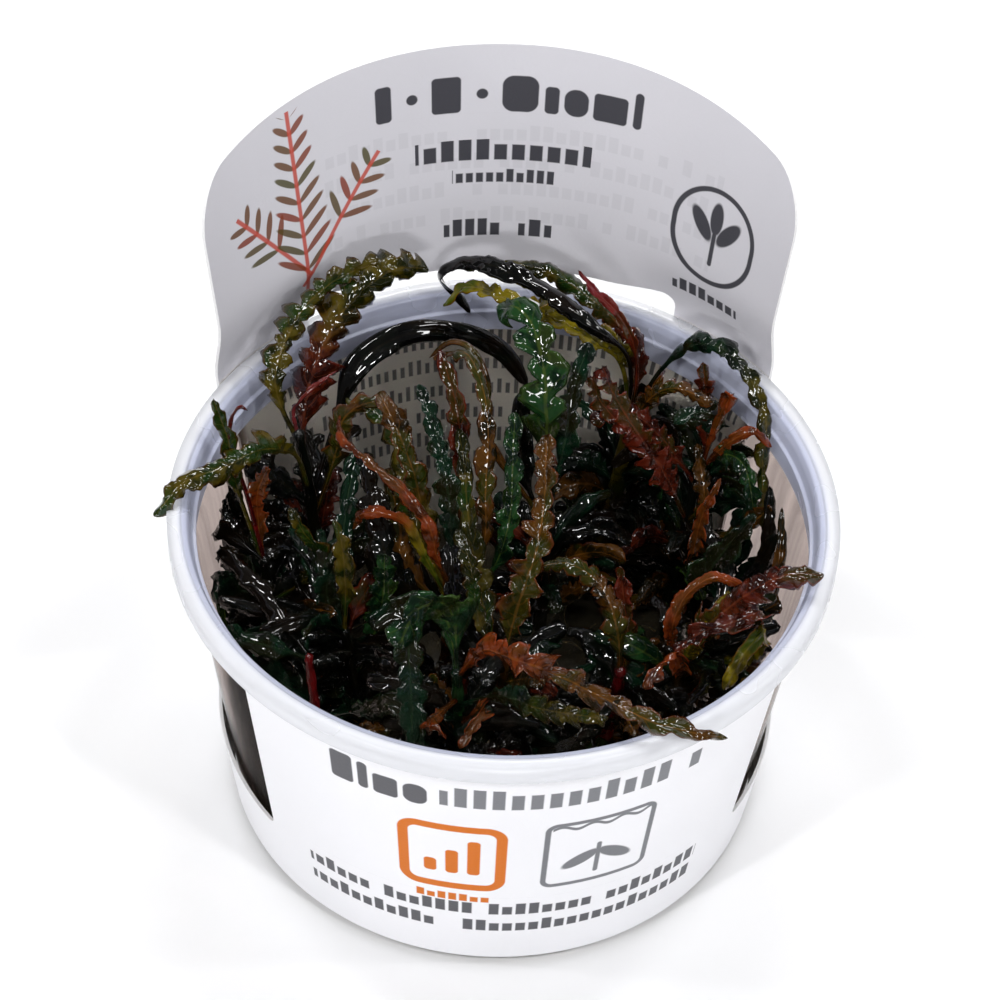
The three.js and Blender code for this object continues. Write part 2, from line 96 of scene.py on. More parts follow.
# Blocks in place of the tab's lines: span, low, height, pitch, seed and each block's share of its pitch
TAB_LINES = (((-17.0, 11.4), 81.3, 3.9, 2.85, 2.0, 0.72), ((-11.0, 5.6), 77.4, 2.4, 1.65, 6.0, 0.70),
             ((-12.4, -2.6), 67.3, 3.2, 2.1, 13.0, 0.74), ((0.2, 5.8), 67.3, 3.2, 2.6, 1.0, 0.74))

# The sprigs printed on the tab: lean in degrees, length, root and first pair of leaves
SPRIG_PITCH, SPRIG_REACH = 3.2, 6.0
SPRIGS = ((-38, 19, (-37.6, 69), 2), (-2, 33, (-37, 64), 1), (36, 22, (-36.8, 67), 3))

# Roots from each stem's foot
ROOTS = 7

# Direction that most leaves turn their upper face to, and how strongly at each point of their line
FACING = np.array((0.0, -0.6, 0.8))
PULL = 0.12
SPLINE_STEPS = 24

# The lamps: place and size in metres, power in watts
LAMPS = {
    "front_low": ((0.03, -0.80, 0.34), (0.24, 0.08), 1.6),
    "front_high": ((-0.06, -0.52, 0.82), (0.18, 0.03), 1.1),
    "key_left": ((-0.38, -0.44, 0.64), (0.03, 0.18), 1.45),
    "key_right": ((0.36, -0.40, 0.68), (0.03, 0.18), 1.35),
    "top_left": ((-0.24, 0.08, 0.84), (0.03, 0.18), 1.1),
    "top_right": ((0.26, 0.12, 0.82), (0.03, 0.18), 1.1),
    "top": ((0.02, 0.34, 0.80), (0.24, 0.04), 1.7),
    "left": ((-0.64, -0.05, 0.40), (0.03, 0.22), 0.75),
    "right": ((0.64, -0.05, 0.42), (0.03, 0.22), 0.75),
    "back": ((0.0, 0.90, 0.22), (0.60, 0.20), 4.0),
}
LAMP_AIM = Vector((0, 0, 0.04))
FLOOR_REACH = 6.0

# A stem's low leaves start at low_from, turned by low_turn degrees and low_length long
Stem = namedtuple("Stem", "path radius tone slot low_from low_turn low_length")
# A leaf grows from its stem at the height "at". Its stalk is a share of its length, its path runs from the
# stem to the tip, fold and ripple lift its halves and margin, and a low notch cuts deep between the lobes
Leaf = namedtuple("Leaf", "name stem at width lobes stalk tone path fold twist ripple notch tip roll",
                  defaults=(0.3, 0.0, 0.4, 0.42, "", 0.0))

STEMS = {
    "back_left": Stem([(-26, 13, 3), (-29, 16, 22), (-31, 18.5, 40), (-32.6, 19.2, 52)],
                      1.2, "dark", "dark", 12, 30, 11),
    "left": Stem([(-33, 2, 3), (-36, 4, 20), (-37, 5, 38)], 1.1, "dark", "dark", 14, 80, 9),
    "mid_left": Stem([(-9, 2, 3), (-8, 3, 22), (-8, 2, 38)], 1.2, "brown", "brown", 12, 20, 11),
    "middle": Stem([(2, -7, 3), (1, -9, 20), (1, -12, 38)], 1.1, "brown", "brown", 13, 50, 10),
    "centre_back": Stem([(7, 18, 3), (7, 18, 24), (7, 16, 44)], 1.1, "dark", "dark", 13, 10, 12),
    "back_right": Stem([(15, 31, 3), (18, 34, 24), (20, 36, 46)], 1.4, "olive", "brown", 14, 60, 9),
    "far_right": Stem([(27, 21, 3), (29, 24, 22), (31, 26, 42)], 1.1, "dark", "dark", 12, 40, 9),
    "right": Stem([(26, -4, 3), (28, -6, 20), (29, -8, 36)], 1.1, "brown", "brown", 12, 70, 11),
    "front": Stem([(-3, -16, 3), (-5, -17, 22), (-6, -18, 40)], 1.1, "green", "dark", 12, 30, 11),
    "mid_right": Stem([(17, -6, 3), (18, -9, 18), (19, -11, 34)], 1.1, "red", "red", 14, 25, 9),
    "front_left": Stem([(-20, -4, 3), (-22, -3, 16), (-24, -2, 30)], 1.0, "dark", "dark", 12, 60, 9),
    "red": Stem([(-24, -16, 3), (-27, -14, 18), (-29, -11, 34)], 0.9, "red", "red", 12, 20, 10),
}

LEAVES = [
    Leaf("left_1", "back_left", 40, 4.6, 6, 0.3, "olive",
         [(-33, 13, 54), (-38, 6, 61), (-42, 2, 61.4), (-47.4, -1.4, 61.6), (-52.1, -5.2, 57.6)],
         -0.5, 10, 0.45, 0.5),
    Leaf("left_2", "left", 36, 3.0, 4, 0.4, "olive",
         [(-41, 7, 52), (-42, 7, 62), (-44, 7, 71)]),
    Leaf("left_3", "left", 32, 3.4, 4, 0.3, "orange",
         [(-38, 8, 42), (-38, 8, 50), (-36, 7, 57)]),
    Leaf("left_4", "left", 24, 4.0, 5, 0.3, "dark",
         [(-41, 11, 34), (-42, 11, 44), (-42, 11, 53)]),
    Leaf("left_5", "left", 12, 4.4, 5, 0.2, "teal",
         [(-39, -1, 22), (-40, 0, 32), (-39, 2, 42)]),
    Leaf("back_left_1", "back_left", 41, 8.4, 7, 0.22, "red_brown",
         [(-32, 22, 52), (-30, 27, 61), (-25, 33, 68), (-19, 37, 71), (-14, 40, 69)], -0.5, 35, 0.8, 0.35,
         "olive"),
    Leaf("back_left_2", "back_left", 34, 5.0, 5, 0.3, "brown",
         [(-27, 20, 46), (-25, 20, 56), (-20, 20, 59), (-16, 19, 55)], -0.3, 20, 0.4),
    Leaf("back_1", "back_left", 38, 4.2, 0, 0.24, "dark",
         [(-27, 25, 50), (-24, 30, 57), (-17, 34, 60), (-9, 35, 60), (-2, 35, 57), (3, 33, 51)],
         -0.2, 30, 0.12),
    Leaf("back_2", "back_right", 44, 3.4, 7, 0.3, "dark",
         [(18, 32, 60), (13, 30, 67), (7, 33, 70), (0, 37, 71), (-7, 41, 70), (-12, 43, 65),
          (-6.8, 42.4, 57.6)],
         -0.3, 0, 0.12, 0.85),
    Leaf("back_3", "back_right", 42, 3.6, 7, 0.3, "yellow",
         [(17, 35, 56), (11, 34, 62), (4, 35, 65), (-3, 38, 66), (-8, 41, 64), (-11, 41, 60)],
         0.2, 20, 0.3, 0.3),
    Leaf("back_4", "back_right", 45, 4.4, 7, 0.15, "red_brown",
         [(20, 34, 57), (17, 36, 62), (11, 39, 66), (4, 42, 68), (-2, 44, 67)],
         -0.5, 0, 0.5, 0.55, "olive"),
    Leaf("back_5", "back_right", 39.5, 2.0, 4, 0.5, "red_brown",
         [(20, 33, 55), (18.7, 32.6, 63), (16.3, 32.6, 68), (12.9, 32.6, 72), (9.6, 32.6, 76.7)],
         0.4, 0, 0.3, 0.6, "pink"),
    Leaf("middle_1", "middle", 37, 5.6, 7, 0.1, "brown",
         [(3, -10, 48), (5, -6, 54), (6, 0, 58), (6, 5, 61), (6, 10, 63)], 0.45, -15, 0.8, 0.35),
    Leaf("middle_2", "centre_back", 43, 8.0, 4, 0.2, "green",
         [(6, 19, 57), (5, 23, 65), (3, 28, 69), (0, 31, 70), (-2, 32, 66)], -0.25, 0, 0.3, 0.2),
    Leaf("middle_3", "centre_back", 40, 4.6, 4, 0.3, "teal",
         [(9, 20, 52), (10, 24, 60), (12, 28, 66)], 0.3, 0, 0.2, 0.55),
    Leaf("middle_4", "centre_back", 34, 4.0, 0, 0.3, "dark",
         [(3, 20, 44), (2, 22, 51), (2, 25, 58)]),
    Leaf("middle_5", "mid_right", 32, 4.4, 6, 0.2, "brown",
         [(18, -10, 42), (15, -6, 48), (10, -4, 50), (6, -3, 48)], -0.5, 15, 0.3),
    Leaf("middle_6", "mid_right", 26, 3.6, 4, 0.2, "red_brown",
         [(20, -6, 36), (19, -4, 42), (18, -2, 48)]),
    Leaf("mid_left_1", "mid_left", 37, 2.3, 7, 0.1, "orange",
         [(-10, 0, 46), (-11.5, 1, 52), (-16, 4, 57), (-21, 7, 59), (-25, 11, 60), (-26, 16, 59)],
         -0.6, 30, 0.35, 0.65),
    Leaf("mid_left_2", "mid_left", 33, 2.4, 6, 0.2, "yellow",
         [(-12, 2, 44), (-15, 3, 50), (-19, 3, 52), (-22, 4, 50), (-23, 5, 46)],
         -0.6, 0, 0.2, 0.7, "orange"),
    Leaf("mid_left_3", "mid_left", 30, 5.0, 6, 0.2, "olive",
         [(-12, 8, 43), (-14, 11, 52), (-17, 14, 59), (-20, 18, 63)], 0.35, 10, 0.6, 0.42, "brown"),
    Leaf("mid_left_4", "mid_left", 36, 4.2, 6, 0.2, "teal",
         [(-8, 7, 45), (-9, 10, 52), (-11, 14, 59), (-14, 19, 64)], 0.4),
    Leaf("mid_left_5", "mid_left", 26, 3.8, 5, 0.4, "red_brown",
         [(-7, 13, 40), (-7, 17, 49), (-8, 21, 57), (-11, 26, 65)]),
    Leaf("mid_left_6", "mid_left", 34, 3.8, 6, 0.2, "brown",
         [(-3, 6, 42), (-3, 10, 51), (-3, 15, 58), (-4, 20, 62), (-7, 26, 64), (-12, 29, 60)],
         -0.4, 20, 0.3),
    Leaf("mid_left_7", "mid_left", 28, 4.0, 5, 0.3, "green",
         [(-1, 6, 38), (1, 9, 46), (1, 13, 53), (1, 18, 60)]),
    Leaf("right_1", "back_right", 40, 3.3, 7, 0.25, "teal",
         [(24, 36, 53), (29, 34, 61), (33, 31, 63), (37, 26, 62), (40, 22, 57), (40, 19, 50), (41, 14, 41)],
         -0.3, 0, 0.5, 0.3, "olive"),
    Leaf("right_2", "far_right", 40, 4.4, 4, 0.3, "green",
         [(34, 22, 49), (37, 18, 51), (39, 14, 45)]),
    Leaf("right_3", "right", 35, 5.0, 7, 0.1, "brown",
         [(31, -12, 46), (34, -14, 53), (38, -15, 59), (42, -15, 62), (47, -15, 62)],
         -0.4, -20, 0.5, 0.6, "red_brown"),
    Leaf("right_4", "right", 33, 2.6, 6, 0.15, "orange",
         [(26, -11, 44), (28, -9, 50), (32, -8, 53), (36, -9, 52), (38, -10, 48)], -0.4, 0, 0.15, 0.8),
    Leaf("right_5", "right", 28, 3.6, 5, 0.2, "orange",
         [(28, -14, 38), (26, -17, 45), (22, -22, 43)], -0.4, 0, 0.4),
    Leaf("right_6", "right", 24, 4.4, 5, 0.2, "yellow",
         [(37, -9, 36), (40, -12, 46), (37, -17, 47), (34, -20, 41)], 0.2, 0, 0.3, 0.75),
    Leaf("right_7", "far_right", 22, 2.6, 5, 0.3, "orange",
         [(30, 14, 33), (31, 13, 44), (33, 12, 53)], -0.4),
    Leaf("right_8", "far_right", 14, 5.0, 4, 0.3, "teal",
         [(31, 10, 30), (35, 10, 40), (39, 11, 47)]),
    Leaf("back_right_1", "back_right", 36, 4.0, 6, 0.3, "brown",
         [(22, 31, 51), (26, 28, 57), (32, 25, 57)], -0.5, 0, 0.4),
    Leaf("back_right_2", "far_right", 36, 4.0, 4, 0.3, "red_brown",
         [(32, 30, 46), (31, 30, 54), (30, 30, 61)]),
    Leaf("back_right_3", "far_right", 30, 6.4, 7, 0.2, "red_brown",
         [(25, 22, 44), (20, 22, 53), (16, 23, 60), (14, 24, 65)], 0.3, 20, 0.8, 0.12),
    Leaf("back_right_4", "far_right", 38, 4.6, 6, 0.2, "red_brown",
         [(25, 27, 46), (19, 28, 51), (13, 27, 50)], -0.4, 0, 0.6, 0.25),
    Leaf("front_1", "front", 38, 6.4, 7, 0.12, "green",
         [(-8, -15, 49), (-11, -17, 53), (-13, -20, 50), (-12.6, -24.6, 44.4), (-12, -29.5, 36.8)],
         0.0, 0, 0.12, 0.5, "teal"),
    Leaf("front_2", "front", 39, 4.8, 8, 0.06, "orange",
         [(-2, -21, 49), (3, -27, 54), (9, -34, 59), (15, -40, 62), (22, -44, 62), (29, -45, 61),
          (32.4, -44.4, 59.8)],
         -0.4, 10, 0.7, 0.35, "brown"),
    Leaf("front_3", "front", 32, 4.4, 6, 0.2, "teal",
         [(1, -23, 41), (6, -30, 47), (11, -35, 52), (16, -39, 56)], -0.3, 0, 0.3, 0.5, "olive"),
    Leaf("front_4", "front", 27, 2.6, 4, 0.3, "orange",
         [(-2, -22, 37), (-2, -27, 41), (-5, -31, 38)], -0.4),
    Leaf("front_left_1", "front_left", 27, 4.2, 5, 0.2, "teal",
         [(-27, 1, 36), (-25, 2, 42), (-23, 3, 43)]),
    Leaf("front_left_2", "front_left", 20, 5.0, 5, 0.2, "green",
         [(-19, -1, 30), (-18, 0, 38), (-18, 1, 45)]),
    Leaf("front_left_3", "red", 22, 4.0, 5, 0.3, "teal",
         [(-20, -18, 30), (-15, -20, 34), (-10, -24, 28)]),
]

# Small leaves between the large ones, which grow from the stem named first
SMALL_LEAVES = [
    Leaf("arch", "back_right", 44, 3.4, 6, 0.2, "yellow",
         [(20, 38, 50), (17, 33, 60), (12, 33, 65), (7, 34, 66), (4, 38, 65)], 0.2, 0, 0.3, 0.6),
    Leaf("strip", "right", 32, 2.6, 6, 0.1, "yellow", [(30, -13, 44), (32, -12, 50), (34, -12, 54)], -0.3),
    Leaf("spread", "back_right", 42, 4.2, 4, 0.2, "teal", [(34, 28, 50), (30, 26, 54), (26, 25, 52)], -0.3),
    Leaf("thin", "far_right", 36, 3.0, 0, 0.2, "dark", [(24, 31, 46), (20, 25, 46), (17, 25, 42)], 0.3),
    Leaf("upright", "far_right", 30, 3.2, 4, 0.2, "brown", [(32, 20, 40), (31, 23, 44), (30, 25, 48)], 0.3),
    Leaf("small_back", "far_right", 40, 2.4, 3, 0.2, "orange",
         [(33, 26, 52), (34, 24, 60), (34, 24, 56)], -0.4),
    Leaf("small_right", "far_right", 41, 2.2, 3, 0.2, "orange",
         [(35, 20, 54), (38, 19, 57), (41, 19, 54)], -0.4),
    Leaf("bud", "front_left", 30, 3.4, 3, 0.2, "olive", [(-24, 0, 40), (-25, 2, 48), (-26, 3, 50)], 0.4),
    Leaf("inner_left", "left", 28, 3.6, 4, 0.2, "olive", [(-28, 7, 36), (-31, 6, 44), (-33, 7, 48)], 0.3),
    Leaf("lean", "middle", 34, 3.6, 5, 0.2, "olive", [(-3, -7, 40), (-5, -2, 48), (-7, 2, 50)], 0.3),
    Leaf("small_front", "front", 34, 2.4, 3, 0.2, "orange",
         [(-10, -29, 40), (-8, -31, 42), (-7, -31, 40)], -0.4),
    Leaf("crown", "front", 38, 7.6, 3, 0.2, "green",
         [(-7, -15, 50), (-9.5, -17, 55), (-12.5, -20, 55.5), (-14.5, -23.5, 51.5)],
         -0.3, 0, 0.5, 0.25, "olive"),
    Leaf("curl", "back_left", 50, 4.6, 8, 0.15, "olive",
         [(-34.7, 20, 55), (-36.3, 22, 61), (-34.6, 27, 65.5), (-31.5, 32, 68.4), (-25.6, 36, 71),
          (-18.7, 39, 71.7)],
         -0.4, 40, 0.7, 0.35, "red_brown"),
    Leaf("petiole", "back_left", 50, 0.9, 4, 0.1, "pink",
         [(-33.4, 20, 56), (-32.3, 20, 58.4), (-29.5, 21, 61.3), (-26.5, 22, 63.3)], 0.3, 0, 0.2),
    Leaf("tendril", "left", 37, 0.9, 3, 0.6, "red",
         [(-39.5, 7, 50), (-41.1, 7, 58), (-41.6, 7, 66), (-40.0, 7, 69.3), (-38.9, 7, 68.6)], 0.2, 0, 0.1),
    Leaf("feather", "far_right", 38, 4.6, 6, 0.2, "red_brown",
         [(27, 25, 44), (21, 24, 48), (17.3, 25, 51.9), (14.2, 26, 55.5), (12.4, 27, 59.9)],
         0.3, 0, 0.7, 0.12),
    Leaf("wall_a", "far_right", 30, 4.0, 4, 0.2, "brown",
         [(36, 18, 34), (40, 15, 42), (41.5, 12, 48)], 0.3, 20, 0.15, 0.7),
    Leaf("wall_b", "right", 28, 4.2, 4, 0.2, "dark",
         [(35, 4, 32), (40, 6, 40), (42.3, 6, 48)], 0.3, -20, 0.15, 0.7),
    Leaf("wall_c", "far_right", 24, 4.4, 4, 0.2, "teal",
         [(36, 14, 26), (40, 13, 33), (41.6, 9, 40)], 0.3, 20, 0.15, 0.7),
    Leaf("wall_d", "right", 24, 4.0, 4, 0.2, "brown",
         [(36, -2, 26), (40.4, -1, 34), (42.6, -1, 42)], 0.3, 0, 0.15, 0.7),
    Leaf("wall_e", "left", 24, 4.0, 4, 0.2, "teal",
         [(-40, 0, 30), (-41.6, -2, 38), (-42.8, -5, 46)], 0.3, 0, 0.15, 0.7),
    Leaf("wall_f", "left", 30, 3.6, 4, 0.2, "dark",
         [(-40, 8, 36), (-41.2, 9, 44), (-42.4, 8, 50)], 0.3, 0, 0.15, 0.7),
    Leaf("wall_g", "red", 20, 4.4, 4, 0.2, "brown",
         [(-33, -18, 26), (-35.6, -20, 34), (-37.6, -20.6, 42)], 0.3, 0, 0.15, 0.7),
    Leaf("wall_h", "red", 24, 4.2, 4, 0.2, "teal",
         [(-34, -12, 30), (-38.6, -14, 38), (-40.6, -14, 44)], 0.3, 0, 0.15, 0.7),
    Leaf("wall_k", "right", 20, 4.2, 4, 0.2, "brown",
         [(33, -18, 26), (35.8, -20.4, 36), (37.2, -21.4, 46)], 0.3, 0, 0.15, 0.7),
    Leaf("wall_l", "right", 14, 4.4, 4, 0.2, "dark",
         [(34, -14, 18), (37, -16.4, 26), (38.8, -16.6, 34)], 0.3, 0, 0.15, 0.7),
    Leaf("wall_m", "far_right", 24, 5.4, 3, 0.2, "teal",
         [(37, 17, 29), (38, 17.4, 35), (38.2, 18, 41)], 0.3, 0, 0.15, 0.7),
    Leaf("strand_a", "far_right", 16, 3.0, 5, 0.2, "dark",
         [(38.4, 11, 24), (41, 7.5, 33), (41.4, 10, 42), (41, 14, 50.5)],
         0.3, 0, 0.15, 0.7),
    Leaf("strand_b", "right", 16, 2.6, 5, 0.2, "brown",
         [(37, -2, 26), (41.2, -1, 36), (42.5, 2.5, 45), (42.6, 8, 52)],
         0.3, 0, 0.15, 0.7),
    Leaf("shade_a", "mid_left", 26, 6.0, 4, 0.2, "dark",
         [(-17.7, 5.0, 39.2), (-19.5, 9.0, 43.9), (-21.0, 13.0, 47.5), (-22.1, 16.0, 51.7)], -0.3, 0, 0.25),
    Leaf("shade_b", "back_left", 22, 5.4, 4, 0.2, "teal",
         [(-24.6, 8.0, 34.3), (-24.9, 12.0, 39.2), (-24.3, 16.0, 44.2), (-23.2, 19.0, 48.6)], 0.3, 0, 0.25),
    Leaf("shade_c", "mid_left", 30, 5.2, 4, 0.2, "brown",
         [(-15.6, 7.0, 37.1), (-16.1, 11.0, 39.7), (-17.3, 15.0, 42.3), (-18.5, 19.0, 45.3)], -0.3, 0, 0.3),
    Leaf("shade_d", "mid_left", 34, 5.6, 5, 0.2, "olive",
         [(-15.9, 16.0, 48.1), (-17.1, 21.0, 50.7), (-20.9, 24.0, 52.6), (-25.6, 26.0, 53.0)],
         -0.4, 20, 0.6, 0.4, "brown"),
    Leaf("shade_e", "middle", 26, 4.6, 5, 0.2, "olive",
         [(-4.3, 4.0, 41.2), (-5.6, 9.0, 47.1), (-6.5, 15.0, 50.9), (-7.7, 19.0, 54.9)], 0.3, 0, 0.35),
    Leaf("shade_f", "middle", 22, 4.8, 4, 0.2, "dark",
         [(-6.9, 0.0, 36.2), (-7.7, 4.0, 40.9), (-8.3, 9.0, 44.7), (-9.1, 13.0, 47.2)], 0.3, 0, 0.25),
    Leaf("hoop", "centre_back", 36, 1.4, 0, 0.2, "brown",
         [(-3.4, 20.0, 53.8), (-3.5, 25.0, 58.7), (-6.1, 28.0, 63.2), (-9.3, 30.0, 62.8),
          (-12.7, 30.0, 59.1)], 0.1, 0, 0.1),
    Leaf("bundle", "right", 35, 4.4, 6, 0.1, "red_brown",
         [(39, -12, 50), (35, -15, 51), (30, -15, 48), (26, -16, 44)], -0.3, 20, 0.6),
]

TONES = {
    #        deep                   mid                    edge                   rib                    patch
    "olive": ((0.008, 0.010, 0.001), (0.059, 0.044, 0.003), (0.074, 0.025, 0.003), (0.131, 0.084, 0.014),
              (0.007, 0.028, 0.003)),
    "brown": ((0.007, 0.005, 0.001), (0.060, 0.022, 0.002), (0.098, 0.014, 0.003), (0.205, 0.078, 0.012),
              (0.021, 0.026, 0.002)),
    "red_brown": ((0.014, 0.002, 0.001), (0.073, 0.009, 0.003), (0.136, 0.012, 0.005), (0.177, 0.035, 0.011),
                  (0.029, 0.020, 0.002)),
    "orange": ((0.046, 0.008, 0.001), (0.163, 0.026, 0.004), (0.210, 0.031, 0.006), (0.269, 0.073, 0.013),
               (0.071, 0.023, 0.003)),
    "pink": ((0.062, 0.007, 0.009), (0.175, 0.019, 0.024), (0.208, 0.029, 0.036), (0.260, 0.062, 0.047),
             (0.117, 0.013, 0.008)),
    "yellow": ((0.055, 0.045, 0.002), (0.215, 0.165, 0.005), (0.190, 0.060, 0.004), (0.280, 0.220, 0.020),
               (0.035, 0.070, 0.004)),
    "green": ((0.001, 0.008, 0.003), (0.009, 0.038, 0.009), (0.028, 0.062, 0.008), (0.075, 0.102, 0.016),
              (0.013, 0.019, 0.002)),
    "teal": ((0.001, 0.004, 0.002), (0.003, 0.016, 0.007), (0.008, 0.024, 0.008), (0.018, 0.034, 0.014),
             (0.008, 0.006, 0.001)),
    # dark: near-black leaves and stems, the plants' dark tone pushed darker than real leaves as painted shade
    # for the crowded inside of the cup
    "dark": ((0.001, 0.001, 0.001), (0.002, 0.003, 0.002), (0.006, 0.004, 0.001), (0.011, 0.008, 0.004),
             (0.004, 0.002, 0.001)),
    "red": ((0.033, 0.001, 0.001), (0.125, 0.004, 0.005), (0.150, 0.007, 0.006), (0.200, 0.012, 0.009),
            (0.055, 0.004, 0.002)),
}


def length_setting(name, description, default):
    return FloatProperty(name=name, description=description, default=default, unit="LENGTH")


def number_setting(name, description, default):
    return FloatProperty(name=name, description=description, default=default)


def angle_setting(name, description, degrees):
    return FloatProperty(name=name, description=description, default=math.radians(degrees), unit="ROTATION")


def colour_setting(name, description, default):
    return FloatVectorProperty(name=name, description=description, default=default, subtype="COLOR")


class CupSettings(bpy.types.PropertyGroup):
    """The moulded cup"""
    height: length_setting("Height", "From the foot to the top of the rim", CUP_TOP * MM)
    base_radius: length_setting("Base radius", "Outer radius at the foot", CUP_FOOT * MM)
    slope: number_setting("Slope", "Growth of the radius for each unit of height", CUP_SLOPE)
    wall: length_setting("Wall", "Thickness of the plastic", CUP_WALL * MM)
    rim_radius: length_setting("Rim radius", "Outer radius of the flange", 0.0505)
    rim_inner: length_setting("Rim inner radius", "Inner radius of the flange", 0.0471)
    plastic: colour_setting("Plastic", "Colour of the clear plastic", (0.995, 0.99, 0.98))
    # Painted shade: dark tint of the clear wall's open sides beside the sleeve, standing in for the dark
    # inside seen through them
    window_shade: colour_setting("Window shade", "Colour of the clouded wall beside the sleeve", (0.29, 0.24, 0.22))
    rim: colour_setting("Rim", "Colour of the milky rim", (0.93, 0.94, 0.98))
    # Painted shade: the rim's inner edge darker and bluer where it turns down into the cup
    lip_shade: colour_setting("Lip", "Colour of the rim's inner edge", (0.60, 0.63, 0.78))


class SleeveSettings(bpy.types.PropertyGroup):
    """The printed sleeve and its tab"""
    base_radius: length_setting("Base radius", "Inner radius at the foot", 0.04175)
    slope: number_setting("Slope", "Growth of the radius for each unit of height", 0.123)
    sheet: length_setting("Sheet", "Thickness of the card", 0.0005)
    tab_height: length_setting("Tab height", "Top of the arched tab", 0.1025)
    card: colour_setting("Card", "Colour of the card's outer side", (0.93, 0.93, 0.965))
    lining: colour_setting("Lining", "Colour of the card's inner side", (0.745, 0.735, 0.785))
    # Painted light: the card below the rim painted brighter than the lining, for the light reaching it
    # through the clear wall
    brightened_behind: colour_setting("Behind the wall", "Colour of the card seen through the cup", (1.0, 0.94, 0.83))
    ink: colour_setting("Ink", "Colour of the dark print", (0.035, 0.035, 0.045))
    grey: colour_setting("Grey", "Colour of the light print", (0.085, 0.090, 0.105))
    accent: colour_setting("Accent", "Colour of the badge", (0.66, 0.16, 0.005))


class PlantSettings(bpy.types.PropertyGroup):
    """The plants and the gel that they stand in"""
    gel_top: length_setting("Gel height", "Top of the gel", 0.010)
    thickness: length_setting("Leaf thickness", "Thickness of a blade", 0.00028)
    extra: IntProperty(name="Extra leaves", description="Small leaves added to each stem", default=24)
    wall: IntProperty(name="Wall leaves", description="Small leaves from each outer stem to the cup's wall",
                      default=24)
    seed: IntProperty(name="Seed", description="Start of the random draws", default=7)


class StageSettings(bpy.types.PropertyGroup):
    """The floor, the lamps and the camera"""
    floor: colour_setting("Floor", "Colour of the floor", (0.93, 0.93, 0.94))
    world: number_setting("World", "Strength of the light from all round", 0.09)
    lens: number_setting("Lens", "Focal length in millimetres", 110.31)
    distance: length_setting("Distance", "From the camera to its target", 0.4593)
    elevation: angle_setting("Elevation", "Angle of the camera above the floor", 46.416)
    roll: angle_setting("Roll", "Turn of the camera about its line of sight", 2.639)
    target: FloatVectorProperty(name="Target", description="The point that the camera looks at",
                                default=(-0.00068, 0.0, 0.059131), subtype="TRANSLATION")


def maths(operation, reflected=False):
    """A method of Value for one operation of the Math node."""
    def method(self, *others):
        if reflected:
            return self.finish.value(*others).math(operation, self)
        return self.math(operation, *others)
    return method


class Value:
    """A socket's output, for use in Python expressions."""

    def __init__(self, finish, socket):
        self.finish = finish
        self.socket = socket

    def math(self, operation, *others):
        node = self.finish.node("ShaderNodeMath", {"operation": operation}, dict(enumerate((self, *others))))
        return Value(self.finish, node.outputs[0])

    def __neg__(self):
        return self * -1.0

    __add__ = __radd__ = maths("ADD")
    __mul__ = __rmul__ = maths("MULTIPLY")
    __sub__, __rsub__ = maths("SUBTRACT"), maths("SUBTRACT", reflected=True)
    __truediv__, __rtruediv__ = maths("DIVIDE"), maths("DIVIDE", reflected=True)
    __pow__, __abs__ = maths("POWER"), maths("ABSOLUTE")
    less, more = maths("LESS_THAN"), maths("GREATER_THAN")
    lowest, highest = maths("MINIMUM"), maths("MAXIMUM")
    floor, fraction = maths("FLOOR"), maths("FRACT")
    sine, root = maths("SINE"), maths("SQRT")

    def ramp(self, low, high):
        """Rises smoothly from 0 at low to 1 at high."""
        node = self.finish.node("ShaderNodeMapRange", {"interpolation_type": "SMOOTHSTEP"},
                                {"Value": self, "From Min": low, "From Max": high})
        return Value(self.finish, node.outputs["Result"])


